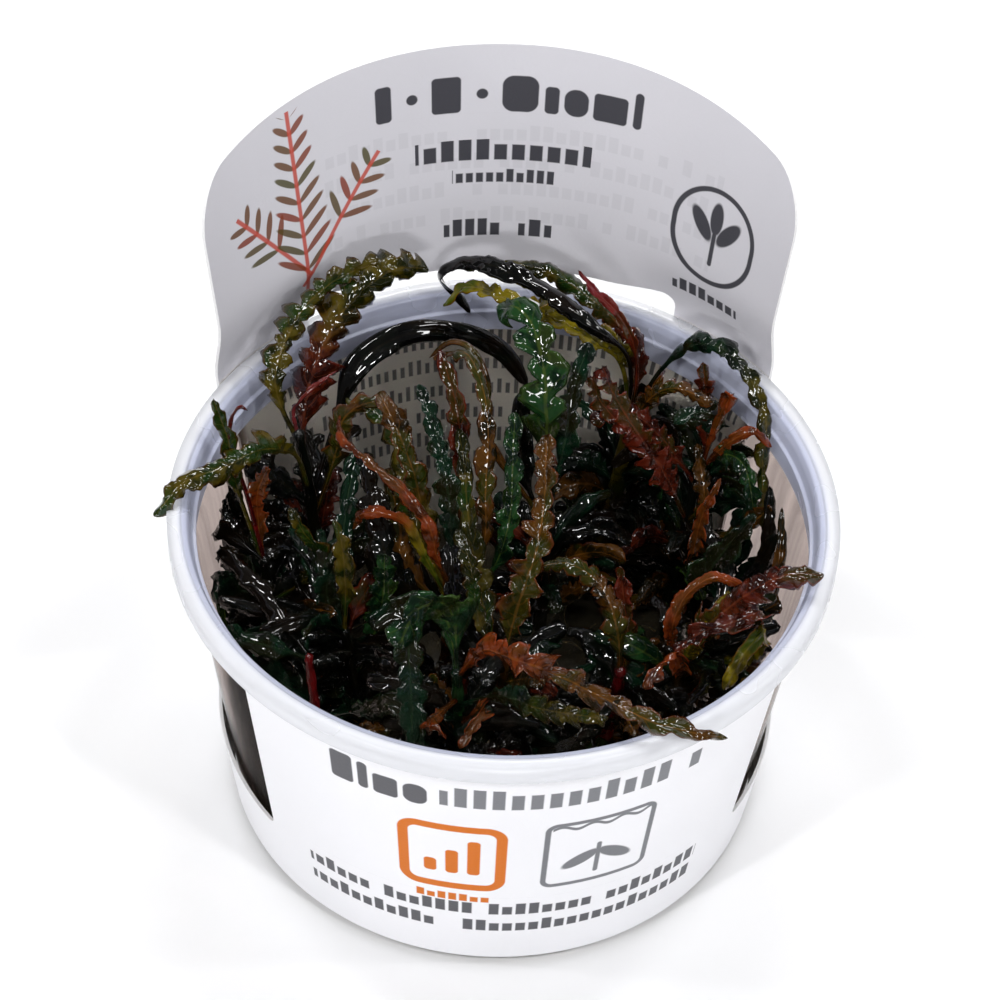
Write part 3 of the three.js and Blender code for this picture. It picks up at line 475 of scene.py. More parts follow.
class Finish:
    """A material and the nodes that make it."""

    def __init__(self, name):
        self.material = bpy.data.materials.new(name)
        self.material.use_nodes = True
        self.tree = self.material.node_tree
        self.tree.nodes.clear()

    def node(self, kind, settings=None, inputs=None):
        node = self.tree.nodes.new(kind)
        for key, setting in (settings or {}).items():
            setattr(node, key, setting)
        for key, given in (inputs or {}).items():
            if isinstance(given, Value):
                self.tree.links.new(given.socket, node.inputs[key])
            elif isinstance(given, bpy.types.NodeSocket):
                self.tree.links.new(given, node.inputs[key])
            else:
                node.inputs[key].default_value = given
        return node

    def value(self, number):
        """A plain number as a socket."""
        node = self.node("ShaderNodeValue")
        node.outputs[0].default_value = number
        return Value(self, node.outputs[0])

    def place(self):
        """The point's place in the object's own metres."""
        return self.node("ShaderNodeTexCoord").outputs["Object"]

    def map(self, layer):
        """The two coordinates of a UV layer."""
        uv = self.node("ShaderNodeUVMap", {"uv_map": layer}).outputs[0]
        parts = self.node("ShaderNodeSeparateXYZ", None, {0: uv})
        return Value(self, parts.outputs[0]), Value(self, parts.outputs[1])

    def noise(self, scale, detail=2.0, where=None, distortion=0.0):
        node = self.node("ShaderNodeTexNoise", None, {
            "Vector": where or self.place(), "Scale": scale, "Detail": detail, "Distortion": distortion})
        return Value(self, node.outputs["Fac"])

    def random_of(self, number):
        """A number from 0 to 1 that is the same each time for the same number."""
        node = self.node("ShaderNodeTexWhiteNoise", {"noise_dimensions": "1D"}, {"W": number})
        return Value(self, node.outputs["Value"])

    def mix(self, share, first, second):
        """A colour between two colours."""
        def four(colour):
            return colour if isinstance(colour, (Value, bpy.types.NodeSocket)) else (*colour[:3], 1.0)
        node = self.node("ShaderNodeMix", {"data_type": "RGBA"},
                         {0: share, 6: four(first), 7: four(second)})
        return Value(self, node.outputs[2])

    def bump(self, height, strength, distance):
        node = self.node("ShaderNodeBump", None,
                         {"Height": height, "Strength": strength, "Distance": distance})
        return node.outputs[0]

    def surface(self, **inputs):
        """Ends the material in one shader, whose sockets are given as words such as base_color."""
        named = {key.replace("_", " ").title().replace("Ior", "IOR"): given for key, given in inputs.items()}
        shader = self.node("ShaderNodeBsdfPrincipled", None, named)
        self.node("ShaderNodeOutputMaterial", None, {"Surface": shader.outputs[0]})
        return self.material


def blade_colour(finish, tone, patches, clouds, lines):
    """Mottled between a tone's own colours and its neighbour's, paler on the ribs and other on the margin."""
    deep, mid, edge, rib, patch = TONES[tone]
    rib_line, vein_line, margin = lines
    colour = finish.mix(patches.ramp(0.40, 0.60), deep, mid)
    colour = finish.mix(clouds.ramp(0.50, 0.58) * 0.8, colour, patch)
    colour = finish.mix(margin * 0.75, colour, edge)
    colour = finish.mix(vein_line * 0.15, colour, rib)
    return finish.mix(rib_line * (patches * 1.2 - 0.3).highest(0), colour, rib)


def leaf_finish(tone, tip=""):
    """Wet crinkled blade. With a tip tone, its colours turn into that tone's towards the tip."""
    name = "_".join(filter(None, ("wet_leaf", tone, tip)))
    if name in bpy.data.materials:
        return bpy.data.materials[name]
    finish = Finish(name)
    along, across = finish.map("blade")
    run, luck = finish.map("run")
    side = abs(across * 2 - 1)
    patches = finish.noise(330, 2) + luck * 0.16 - 0.08
    clouds = finish.noise(110, 1) + luck * 0.12 - 0.06
    crinkle = finish.noise(750, 2, distortion=0.8)
    lengthwise = finish.node("ShaderNodeCombineXYZ", None, {0: along * 0.8, 1: across * 7, 2: luck * 40})
    folds = finish.noise(1.0, 1, where=lengthwise.outputs[0])
    rib_line = 1 - side.ramp(0.04, 0.12)
    vein_gap = abs((along * 2 - side * 0.7).fraction() - 0.5)
    vein_line = (1 - vein_gap.ramp(0.03, 0.10)) * (1 - side.ramp(0.6, 0.95)) * along.more(0)
    lines = rib_line, vein_line, side.ramp(0.70, 1.0) * clouds.ramp(0.35, 0.6)
    colour = blade_colour(finish, tone, patches, clouds, lines)
    if tip:
        share = (run + patches * 0.3).ramp(0.42, 0.75)
        colour = finish.mix(share, colour, blade_colour(finish, tip, patches, clouds, lines))
    relief = crinkle * 0.5 + folds * 1.2 + vein_line * 0.25 - rib_line * 0.3
    return finish.surface(
        base_color=colour,
        roughness=crinkle.ramp(0.3, 0.8) * 0.15 + 0.14,
        ior=1.36,
        specular_ior_level=0.04,
        coat_weight=1.0,
        coat_ior=1.46,
        coat_roughness=0.035,
        normal=finish.bump(relief, 0.35 if tone in ("dark", "teal") else 0.65, 0.0004),
    )


def stem_finish(tone):
    """Wet stalk with streaks along it."""
    deep, mid, edge, _, _ = TONES[tone]
    name = "wet_stem_" + tone
    if name in bpy.data.materials:
        return bpy.data.materials[name]
    finish = Finish(name)
    streak = finish.noise(260, 2)
    colour = finish.mix(streak.ramp(0.35, 0.65), deep, mid)
    colour = finish.mix(finish.noise(90, 2).ramp(0.5, 0.7) * 0.6, colour, edge)
    return finish.surface(
        base_color=colour, roughness=streak * 0.15 + 0.2, ior=1.36, coat_weight=1.0, coat_ior=1.45,
        specular_ior_level=0.08, coat_roughness=0.03,
        normal=finish.bump(streak + finish.noise(1500, 2) * 0.3, 0.3, 0.0003))


def root_finish():
    """Pale wet thread."""
    finish = Finish("fine_root")
    hairs = finish.noise(900, 2)
    return finish.surface(
        base_color=finish.mix(hairs, (0.32, 0.26, 0.16), (0.55, 0.50, 0.38)), roughness=hairs * 0.2 + 0.25,
        coat_weight=0.4, normal=finish.bump(hairs, 0.3, 0.0002))


def plastic_finish(name, colour, transmission, roughness, lip_shade=None, window_shade=None):
    """Moulded plastic with faint flow marks. The rim's inner edge gets a darker bluish painted shade; the
    wall gets a dark streaked painted shade on its open sides beside the sleeve and at its foot.
    """
    finish = Finish(name)
    flow = finish.noise(120, 1)
    tint = finish.mix(flow * 0.5, colour, tuple(c * 0.96 for c in colour))
    parts = finish.node("ShaderNodeSeparateXYZ", None, {0: finish.place()})
    x, y, z = (Value(finish, socket) for socket in parts.outputs)
    reach = (x * x + y * y).root()
    if lip_shade:
        # Painted shade on the rim's inner edge, fading out between about 48 and 49 mm
        tint = finish.mix(1 - (reach / MM).ramp(47.9, 49.3), tint, lip_shade)
    # Painted shade: a dark streaked tint on the open sides beside the sleeve, for the dark inside seen
    # through them
    if window_shade:
        turn = x.math("ARCTAN2", y) * (180 / math.pi)
        around = finish.node("ShaderNodeCombineXYZ", None, {0: turn * 0.28, 1: z * 25})
        streaks = finish.noise(1.0, 1, where=around.outputs[0])
        shaded = finish.mix(streaks.ramp(0.35, 0.65), window_shade, tuple(c * 1.6 for c in window_shade))
        away = abs(turn + SLEEVE_TURN)
        # Painted shade: the wall's lowest 2 mm darkened to FOOT_SHADE
        foot = 1 - (z / MM).ramp(1.2, 2.4)
        beside = away.ramp(TAB_HALF - 1, TAB_HALF + 1) * (1 - away.ramp(FRONT_EDGE, FRONT_EDGE + 2))
        tint = finish.mix(foot, finish.mix(beside, tint, shaded), FOOT_SHADE)
    return finish.surface(
        base_color=tint, roughness=flow * 0.04 + roughness,
        ior=1.02 if transmission > 0.9 else 1.35, transmission_weight=transmission, specular_ior_level=0.5,
        normal=finish.bump(flow, 0.01, 0.0001))


def gel_finish():
    """Clear wet gel with a slow ripple."""
    finish = Finish("set_gel")
    ripple = finish.noise(160, 2)
    return finish.surface(
        base_color=(0.34, 0.29, 0.19, 1.0), roughness=ripple * 0.08 + 0.04, ior=1.34,
        transmission_weight=0.92, normal=finish.bump(ripple, 0.2, 0.001))


def bar(x, y, left, right, low, high, corner=0.7):
    """1 inside a bar with rounded corners, on coordinates in millimetres."""
    cx, cy = (left + right) / 2, (low + high) / 2
    rx, ry = (right - left) / 2, (high - low) / 2
    corner = min(rx, ry, corner)
    dx = (abs(x - cx) - (rx - corner)).highest(0)
    dy = (abs(y - cy) - (ry - corner)).highest(0)
    distance = (dx * dx + dy * dy).root()
    return 1 - distance.ramp(corner - SOFT, corner + SOFT)


def frame_mark(x, y, cx, cy, half_w, half_h, corner, line):
    """1 on the line of a rounded frame."""
    dx = (abs(x - cx) - (half_w - corner)).highest(0)
    dy = (abs(y - cy) - (half_h - corner)).highest(0)
    distance = abs((dx * dx + dy * dy).root() - corner)
    return 1 - distance.ramp(line / 2 - SOFT, line / 2 + SOFT)


def oval(x, y, cx, cy, half_long, half_wide, turn):
    """1 inside an oval leaf mark whose long axis is turned by so many degrees."""
    c, s = math.cos(math.radians(turn)), math.sin(math.radians(turn))
    u = ((x - cx) * c + (y - cy) * s) / half_long
    v = ((y - cy) * c - (x - cx) * s) / half_wide
    reach = (u * u + v * v).root()
    return 1 - reach.ramp(1 - SOFT, 1 + SOFT)


def joined(marks):
    """1 where any of the marks is 1."""
    whole = marks[0]
    for mark in marks[1:]:
        whole = whole.highest(mark)
    return whole


def blocks(finish, x, y, span, low, height, pitch, seed, row=0.0, rows=1, gaps=0.15, share=0.74):
    """Rows of small rounded blocks in groups of uneven length, as plain filler for lines of small print."""
    left, right = span
    line = ((y - low) / row).floor() if rows > 1 else finish.value(0)
    shifted = (x - left) / pitch + finish.random_of(line + seed) * 3
    number = shifted.floor() + line * 57.3 + seed
    shown = finish.random_of(number).more(gaps)
    tall = finish.random_of(number * 1.7 + 0.5).more(0.65) * 0.14 + 0.36
    above = y - low - line * row - height * 0.5
    dx = (abs(shifted.fraction() - 0.5) - share * 0.5) * pitch
    dy = abs(above - tall * height + height * 0.36) - tall * height
    inside = x.more(left) * x.less(right) * y.more(low - 0.4) * y.less(low + max(row * rows, height) + 0.4)
    return (1 - dx.highest(dy).ramp(-SOFT, SOFT)) * shown * inside


def sprig(x, y, root, lean, length, bare):
    """Pairs of narrow leaf marks up one stalk: the leaves, the stalk and the number of each pair."""
    c, s = math.cos(math.radians(lean)), math.sin(math.radians(lean))
    across = (x - root[0]) * c - (y - root[1]) * s
    up = (x - root[0]) * s + (y - root[1]) * c
    out = abs(across)
    place = (up - out * 0.75) / SPRIG_PITCH
    step = place.floor()
    size = 1 - step * (0.6 * SPRIG_PITCH / length)
    wide = (place - step - 0.5) * SPRIG_PITCH / 0.75
    far = out / size / (SPRIG_REACH / 2) - 1
    leaves = 1 - (far * far + wide * wide).root().ramp(0.85, 1.12)
    leaves = leaves * place.more(bare) * place.less(length / SPRIG_PITCH)
    stalk = (1 - out.ramp(0.22, 0.5)) * up.more(-2) * up.less(length + 1.5)
    return leaves, stalk, step + across.more(0) * 31


def card_base(finish, colour, shade):
    """The bare card with its faint fibres and its slow unevenness."""
    fibres = finish.noise(2200, 2)
    clouds = finish.noise(22, 2)
    tint = tuple(channel * shade for channel in colour)
    return finish.mix(clouds.ramp(0.3, 0.7) * 0.7 + fibres * 0.1, colour, tint), fibres


def outer_card_finish(sleeve):
    """The sleeve's outer side: plain filler marks on the front panel, and bare card elsewhere."""
    finish = Finish("card_outer")
    turn, y = finish.map("print")
    x = (abs(turn) - 180) * (turn.more(0) * 2 - 1) * -0.84 + 3.95
    front = abs(turn).more(100)
    base, fibres = card_base(finish, tuple(sleeve.card), 0.93)
    ink, grey, accent = tuple(sleeve.ink), tuple(sleeve.grey), tuple(sleeve.accent)
    bold = joined([bar(x, y, *spot) for spot in FRONT_BARS])
    light = blocks(finish, x, y, (-7.4, 32.6), 44.6, 5.4, 2.75, 3.0, gaps=0.05, share=0.66)
    badge = joined([
        frame_mark(x, y, -5.6, 31, 7.6, 8.2, 2.4, 1.7), bar(x, y, -10.0, -8.0, 26.5, 30),
        bar(x, y, -6.6, -4.6, 26.5, 33), bar(x, y, -3.2, -1.2, 26.5, 36),
        blocks(finish, x, y, (-11.6, 0.6), 18.3, 2.0, 1.75, 4.0, gaps=0.0)])
    wave = abs(y - 39 - (x * 1.3).sine() * 0.5)
    level = joined([
        frame_mark(x, y, 17.2, 31.5, 8.4, 8.6, 1.6, 0.9),
        (1 - wave.ramp(0.25, 0.5)) * x.more(9.5) * x.less(25),
        oval(x, y, 14.4, 29.5, 3.4, 1.3, 35), oval(x, y, 20.0, 29.5, 3.4, 1.3, 145),
        bar(x, y, 16.8, 17.6, 25.0, 33.4)])
    small = blocks(finish, x, y, (-31.5, 38.0), 9.6, 3.2, 2.2, 8.5, row=5.0, rows=2, gaps=0.08)
    tint = base
    for mark, share, print_colour in ((bold, 0.92, ink), (light, 0.86, grey), (badge, 1.0, accent),
                                      (level, 0.88, grey), (small, 0.93, ink)):
        tint = finish.mix(mark * front * share, tint, print_colour)
    return finish.surface(
        base_color=tint, roughness=fibres * 0.12 + 0.38, specular_ior_level=0.15, coat_weight=0.06,
        coat_roughness=0.25, normal=finish.bump(fibres, 0.15, 0.0002))


def inner_card_finish(sleeve):
    """The sleeve's inner side: the face of the tab, and the small print seen through the cup."""
    finish = Finish("card_inner")
    turn, y = finish.map("print")
    x = turn * 0.93 - 4.4
    base, fibres = card_base(finish, tuple(sleeve.lining), 0.90)
    ink = tuple(sleeve.ink)
    title = joined([bar(x, y, *spot) for spot in TITLE_BARS])
    lines = joined([blocks(finish, x, y, *spot, gaps=0.0, share=share) for *spot, share in TAB_LINES])
    badge = joined([
        frame_mark(x, y, 34.0, 77.0, 7.6, 8.4, 7.6, 0.9), oval(x, y, 31.4, 78.6, 3.2, 1.3, 125),
        oval(x, y, 36.6, 78.6, 3.2, 1.3, 55), oval(x, y, 34.0, 80.4, 3.0, 1.2, 90),
        bar(x, y, 33.6, 34.4, 71.6, 78.0),
        blocks(finish, x, y, (27.5, 40.5), 63.6, 2.6, 1.85, 3.0, gaps=0.0)])
    # The small print seen through the clear wall. Painted light: the card below the rim is painted brighter
    # than the lining, standing in for light reaching it through the wall
    care = blocks(finish, x, y, (-46.0, 46.0), 21.0, 2.9, 1.6, 5.0, row=5.0, rows=6, share=0.5)
    ghost = blocks(finish, -x, y, (-34.0, 34.0), 70.0, 2.8, 2.1, 9.0, row=5.0, rows=4)
    brightened_behind = 1 - y.ramp(56.5, 58)
    tint = finish.mix(brightened_behind, base, tuple(sleeve.brightened_behind))
    for mark in (ghost * 0.07, title.highest(lines) * 0.96, badge * 0.95):
        tint = finish.mix(mark, tint, ink)
    for lean, tall, root, bare in SPRIGS:
        leaves, stalk, pair = sprig(x, y, root, lean, tall, bare)
        tint = finish.mix(leaves * 0.92, tint, finish.mix(finish.random_of(pair), SPRIG_RED, SPRIG_OLIVE))
        tint = finish.mix(stalk * 0.9, tint, SPRIG_STALK)
    tint = finish.mix(care * 0.85, tint, CARE_PRINT)
    return finish.surface(
        base_color=tint, roughness=fibres * 0.12 + 0.36, specular_ior_level=0.15, coat_weight=0.08,
        coat_roughness=0.2, normal=finish.bump(fibres, 0.15, 0.0002))


class Shape:
    """Gathers the parts of one mesh, in millimetres, with their UVs and finishes."""

    def __init__(self):
        self.points = []
        self.faces = []
        self.uvs = []
        self.finishes = []
        self.count = 0

    def add(self, points, faces, uvs=None, finish=0):
        """uvs holds up to two pairs for each point, or is left out."""
        points = np.asarray(points, float)
        pairs = np.zeros((len(points), 4))
        if uvs is not None:
            pairs[:, :np.shape(uvs)[1]] = uvs
        self.points.append(points)
        for face in faces:
            self.faces.append([self.count + i for i in face])
            self.uvs.extend(pairs[i] for i in face)
            self.finishes.append(finish)
        self.count += len(points)

    def build(self, name, finishes, layers=("blade", "run")):
        mesh = bpy.data.meshes.new(name)
        points = np.concatenate(self.points) * MM
        mesh.from_pydata(points.tolist(), [], self.faces)
        for number, layer in enumerate(layers):
            pairs = np.asarray(self.uvs, np.float32)[:, 2 * number:2 * number + 2]
            mesh.uv_layers.new(name=layer).data.foreach_set("uv", pairs.ravel())
        mesh.polygons.foreach_set("material_index", self.finishes)
        mesh.polygons.foreach_set("use_smooth", [True] * len(self.faces))
        for finish in finishes:
            mesh.materials.append(finish)
        mesh.update()
        piece = bpy.data.objects.new(name, mesh)
        bpy.context.scene.collection.objects.link(piece)
        return piece


def settle(piece, slot, *nodes):
    """Puts a piece on the model's one body, in place of its solids."""
    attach(piece, "root")
    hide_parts(*nodes)


def smooth_path(points, count):
    """Points evenly spaced on a centripetal spline through the given points."""
    p = np.asarray(points, float)
    p = np.vstack([2 * p[0] - p[1], p, 2 * p[-1] - p[-2]])
    out = []
    for i in range(1, len(p) - 2):
        a, b, c, d = p[i - 1:i + 3]
        t1 = max(np.linalg.norm(b - a), 1e-6) ** 0.5
        t2 = t1 + max(np.linalg.norm(c - b), 1e-6) ** 0.5
        t3 = t2 + max(np.linalg.norm(d - c), 1e-6) ** 0.5
        t = np.linspace(t1, t2, SPLINE_STEPS, endpoint=False)[:, None]
        ab = a * (t1 - t) / t1 + b * t / t1
        bc = b * (t2 - t) / (t2 - t1) + c * (t - t1) / (t2 - t1)
        cd = c * (t3 - t) / (t3 - t2) + d * (t - t2) / (t3 - t2)
        abc = ab * (t2 - t) / t2 + bc * t / t2
        bcd = bc * (t3 - t) / (t3 - t1) + cd * (t - t1) / (t3 - t1)
        out.append(abc * (t2 - t) / (t2 - t1) + bcd * (t - t1) / (t2 - t1))
    out = np.vstack(out + [p[-2][None]])
    run = np.r_[0, np.cumsum(np.linalg.norm(np.diff(out, axis=0), axis=1))]
    even = np.linspace(0, run[-1], count)
    return np.stack([np.interp(even, run, out[:, k]) for k in range(3)], 1)


def unit(v):
    """The vector at length 1."""
    return v / max(np.linalg.norm(v), 1e-9)


def frames_on(centre):
    """Tangent, normal and across for each point of a path. The normal leans to FACING without flipping."""
    along = np.gradient(centre, axis=0)
    along /= np.linalg.norm(along, axis=1)[:, None] + 1e-12
    normal = FACING - along[0] * (FACING @ along[0])
    if np.linalg.norm(normal) < 0.2:
        normal = np.cross(along[0], (1.0, 0.0, 0.0))
    normal = unit(normal)
    normals = []
    for t in along:
        wish = FACING - t * (FACING @ t)
        side = 1 if normal @ wish >= 0 else -1
        normal = normal + wish * side * PULL
        normal = unit(normal - t * (normal @ t))
        normals.append(normal)
    normals = np.array(normals)
    return along, normals, np.cross(along, normals)


def lobe_line(t, cells, draw):
    """One side of a blade: each row's place among its uneven lobes, and each lobe's size and curl."""
    lengths = draw.uniform(0.62, 1.42, cells)
    bounds = np.r_[0, np.cumsum(lengths)] / lengths.sum()
    phase = np.interp(t, bounds, np.arange(cells + 1))
    cell = np.clip(phase.astype(int), 0, cells - 1)
    return phase, draw.uniform(0.6, 1.18, cells)[cell], draw.uniform(-1, 1, cells)[cell]


def blade_part(leaf, path, thick, seed, fine=True):
    """A lobed, crinkled blade on its stalk: points, faces and UVs."""
    draw = np.random.default_rng(seed)
    cells = leaf.lobes * 3 // 2 or 3
    per_lobe, columns = (12, 7) if fine else (5, 3)
    rows = cells * per_lobe + (10 if fine else 4)
    centre = smooth_path(path, rows)
    along, normal, across = frames_on(centre)
    place = np.linspace(0, 1, rows)
    t = np.clip((place - leaf.stalk) / (1 - leaf.stalk), 0, 1)
    turn = np.radians(leaf.roll + leaf.twist * t)[:, None]
    normal, across = (normal * np.cos(turn) + across * np.sin(turn),
                      across * np.cos(turn) - normal * np.sin(turn))
    sides = [lobe_line(t, cells, draw) for _ in range(2)]
    steps = np.linspace(-1, 1, 2 * columns + 1)
    side = (steps > 0).astype(int)
    phase, size, curl = (np.array([line[k] for line in sides])[side].T for k in range(3))
    reach = np.abs(steps)[None]
    ease = np.clip(t * cells * 1.5, 0, 1)[:, None]
    bulge, half, sweep = blade_outline(leaf, t, place, phase, size, ease, seed)
    wave = np.sin(2 * np.pi * (phase + 0.2 + 0.13 * side[None]))
    cupped = leaf.fold * reach + 0.2 * np.sin(np.pi * reach) * bulge + 0.65 * curl * reach ** 2 * bulge
    lift = ease * half * cupped + ease * leaf.ripple * reach ** 2 * wave
    body = thick * (1 - reach ** 6) + 0.5 * (1 - 0.6 * place)[:, None] * np.exp(-(reach * half / 0.28) ** 2)
    body = np.where(t[:, None] > 0.97, thick * 0.5, body) * (reach < 0.999)
    middle = (centre[:, None] + across[:, None] * (steps[None] * half)[..., None]
              + along[:, None] * (reach * sweep)[..., None])
    crinkle = crinkle_at(middle, seed) * (min(1.3, leaf.ripple / 0.35) if fine else 0.2)
    lift = lift + crinkle * ease * (0.35 + 0.65 * reach)
    points = np.stack([middle + normal[:, None] * (lift + lay * body)[..., None] for lay in (0.5, -0.5)])
    uvs = np.stack([
        np.where(t[:, None] > 0, phase, -1), np.broadcast_to(0.5 + 0.5 * steps[None], phase.shape),
        np.broadcast_to(t[:, None], phase.shape), np.full(phase.shape, draw.random())], -1)
    return points.reshape(-1, 3), blade_faces(rows, len(steps)), np.vstack([uvs.reshape(-1, 4)] * 2)


def blade_outline(leaf, t, place, phase, size, ease, seed):
    """Each row's bulge between notches, its half width and how far its margin sweeps to the tip."""
    tip = np.clip((t - 0.88) / 0.12, 0, 1)
    outline = (np.minimum(1, 0.5 + 3 * t) * (1 - 0.5 * t ** 3) * np.sqrt(1 - tip ** 2))[:, None]
    bulge, lobe = np.ones_like(phase), np.ones_like(phase)
    if leaf.lobes:
        bulge = np.abs(np.sin(np.pi * (phase % 1) ** 1.2)) ** 0.5
        teeth = 1 + 0.05 * np.sin(2 * np.pi * 2.6 * phase + seed)
        lobe = (leaf.notch + (1 - leaf.notch) * bulge) * size * teeth
    stalk_half = (0.42 * (1 - 0.35 * place))[:, None]
    half = stalk_half * (1 - ease) + leaf.width / 2 * outline * lobe * ease
    half = np.maximum(half, np.where(t < 0.97, 0.12, 0.0)[:, None])
    return bulge, half, outline * leaf.width * (0.2 if leaf.lobes else 0.0) * ease


def crinkle_at(spots, seed):
    """Large and small waves of a wet leaf's surface, other for each leaf."""
    offset = Vector((seed % 97, 0, 0))
    waves = [noise.noise(Vector(spot * 0.45) + offset) * 0.5 + noise.noise(Vector(spot)) * 0.45
             for spot in spots.reshape(-1, 3)]
    return np.array(waves).reshape(spots.shape[:-1])


def blade_faces(rows, grid):
    """The faces of two sheets of rows by grid points that share their two long edges."""
    top = np.arange(rows * grid).reshape(rows, grid)
    bottom = top + rows * grid
    bottom[:, 0] = top[:, 0]
    bottom[:, -1] = top[:, -1]
    faces = []
    for i in range(rows - 1):
        for j in range(grid - 1):
            faces.append((top[i, j], top[i, j + 1], top[i + 1, j + 1], top[i + 1, j]))
            faces.append((bottom[i, j], bottom[i + 1, j], bottom[i + 1, j + 1], bottom[i, j + 1]))
    for i in (0, rows - 1):
        for j in range(grid - 1):
            ring = (top[i, j], bottom[i, j], bottom[i, j + 1], top[i, j + 1])
            ring = ring if i == 0 else ring[::-1]
            faces.append(tuple(dict.fromkeys(ring)))
    return faces


def tube_part(path, radii, sides=12, count=40):
    """A round tube along a path, closed at both ends, whose radius follows radii from foot to tip."""
    centre = smooth_path(path, count)
    along, normal, across = frames_on(centre)
    radius = np.interp(np.linspace(0, 1, count), np.linspace(0, 1, len(radii)), radii)
    turns = np.linspace(0, 2 * np.pi, sides, endpoint=False)
    rings = (centre[:, None] + radius[:, None, None] * (
        np.cos(turns)[None, :, None] * across[:, None] + np.sin(turns)[None, :, None] * normal[:, None]))
    points = np.vstack([rings.reshape(-1, 3), centre[0], centre[-1] + along[-1] * radius[-1] * 0.8])
    uvs = np.zeros((len(points), 2))
    uvs[:count * sides, 0] = -np.repeat(np.linspace(0, 1, count), sides)
    faces = []
    for i in range(count - 1):
        for k in range(sides):
            a, b = i * sides + k, i * sides + (k + 1) % sides
            faces.append((a, b, b + sides, a + sides))
    for k in range(sides):
        faces.append((count * sides, (k + 1) % sides, k))
        last = (count - 1) * sides
        faces.append((count * sides + 1, last + k, last + (k + 1) % sides))
    return points, faces, uvs


def clean_faces(piece):
    """Removes faces without area and turns every face outwards."""
    work = bmesh.new()
    work.from_mesh(piece.data)
    bmesh.ops.remove_doubles(work, verts=work.verts, dist=1e-7)
    bmesh.ops.dissolve_degenerate(work, edges=work.edges, dist=1e-8)
    bmesh.ops.recalc_face_normals(work, faces=work.faces)
    work.to_mesh(piece.data)
    work.free()


def lathe_part(profile, sides=160, finishes=None):
    """Turns a closed profile of (radius, height) about Z."""
    profile = np.asarray(profile, float)
    turns = np.linspace(0, 2 * np.pi, sides, endpoint=False)
    points = np.stack([
        profile[:, 0][None] * np.cos(turns)[:, None],
        profile[:, 0][None] * np.sin(turns)[:, None],
        np.broadcast_to(profile[:, 1][None], (sides, len(profile)))], -1)
    n = len(profile)
    faces, kinds = [], []
    for i in range(sides):
        for k in range(n - 1):
            a, b = i * n + k, ((i + 1) % sides) * n + k
            faces.append((a, b, b + 1, a + 1))
            kinds.append(finishes[k] if finishes else 0)
    return points.reshape(-1, 3), faces, kinds


def rounded(points, steps=4):
    """A profile whose corners marked with a radius are rounded: (r, z) or (r, z, corner)."""
    out = []
    for i, point in enumerate(points):
        if len(point) == 2 or i in (0, len(points) - 1):
            out.append(point[:2])
            continue
        corner = np.array(point[:2], float)
        before = unit(np.array(points[i - 1][:2], float) - corner)
        after = unit(np.array(points[i + 1][:2], float) - corner)
        start, end = corner + before * point[2], corner + after * point[2]
        for k in range(steps + 1):
            t = k / steps
            out.append(tuple((1 - t) ** 2 * start + 2 * t * (1 - t) * corner + t ** 2 * end))
    return out


class PLANT_OT_cup(bpy.types.Operator):
    """Mould the clear cup"""
    bl_idname = "plant.cup"
    bl_label = "Cup"

    def execute(self, context):
        cup = context.scene.plant_cup
        slope, wall, base = cup.slope, cup.wall / MM, cup.base_radius / MM
        height, rim, inner = cup.height / MM, cup.rim_radius / MM, cup.rim_inner / MM

        def radius(z):
            return base + slope * z

        outside = rounded([
            (0, 0.5), (base - 5.2, 0.5, 0.4), (base - 4.6, 0, 0.4), (base - 0.4, 0, 0.9), (radius(1.6), 1.6),
            (radius(20), 20), (radius(48.5), 48.5, 0.4), (radius(50) + 0.4, 50, 0.4), (47.9, 56.4, 0.5),
            (rim - 0.8, 56.5, 0.4), (rim - 0.75, height - 3.4, 0.15), (rim, height - 3.4, 0.15),
            (rim, height, 0.9)])
        inside = rounded([
            (rim, height), (48.6, height, 0.2), (48.3, height - 0.35, 0.15), (inner + 0.5, height - 0.4, 0.3),
            (inner, height - 1.6, 0.3), (inner - 0.3, height - 3.2, 0.2), (inner - 0.9, height - 3.4, 0.2),
            (radius(50) - 0.5, 50.2, 0.5), (radius(48.5) - wall, 48.4, 0.6), (radius(20) - wall, 20),
            (radius(2) - wall, 1.2, 1.6), (base - 6, 1.2, 0.4), (base - 6.6, 1.55, 0.4), (0, 1.55)])
        profile = outside + inside[1:]
        heights = np.array([(a[1] + b[1]) / 2 for a, b in zip(profile, profile[1:])])
        radii = np.array([(a[0] + b[0]) / 2 for a, b in zip(profile, profile[1:])])
        milky = (heights > 50.5) & (radii > 44)
        points, faces, kinds = lathe_part(profile, finishes=milky.astype(int).tolist())
        shape = Shape()
        for kind in (0, 1):
            shape.add(points, [f for f, k in zip(faces, kinds) if k == kind], finish=kind)
        clear = plastic_finish("clear_plastic", tuple(cup.plastic), 0.98, 0.06, window_shade=tuple(cup.window_shade))
        milk = plastic_finish("milky_plastic", tuple(cup.rim), 0.30, 0.25, lip_shade=tuple(cup.lip_shade))
        piece = shape.build("moulded_cup", [clear, milk])
        clean_faces(piece)
        settle(piece, "cup_plastic", "cup")
        return {"FINISHED"}


def tab_top(angle, tab_height):
    """The height of the tab's arched edge at an angle, with its corners rounded."""
    away = abs(angle)
    arch = tab_height - 2.5 * (away / 36) ** 2.5
    corner = min(max(0.0, (away - (TAB_HALF - TAB_CORNER)) / TAB_CORNER), 1.0)
    return arch - 9 * (1 - math.sqrt(1 - corner ** 2))


def ease_step(value):
    """Rises smoothly from 0 to 1 as the value does."""
    t = min(max(value, 0.0), 1.0)
    return t * t * (3 - 2 * t)


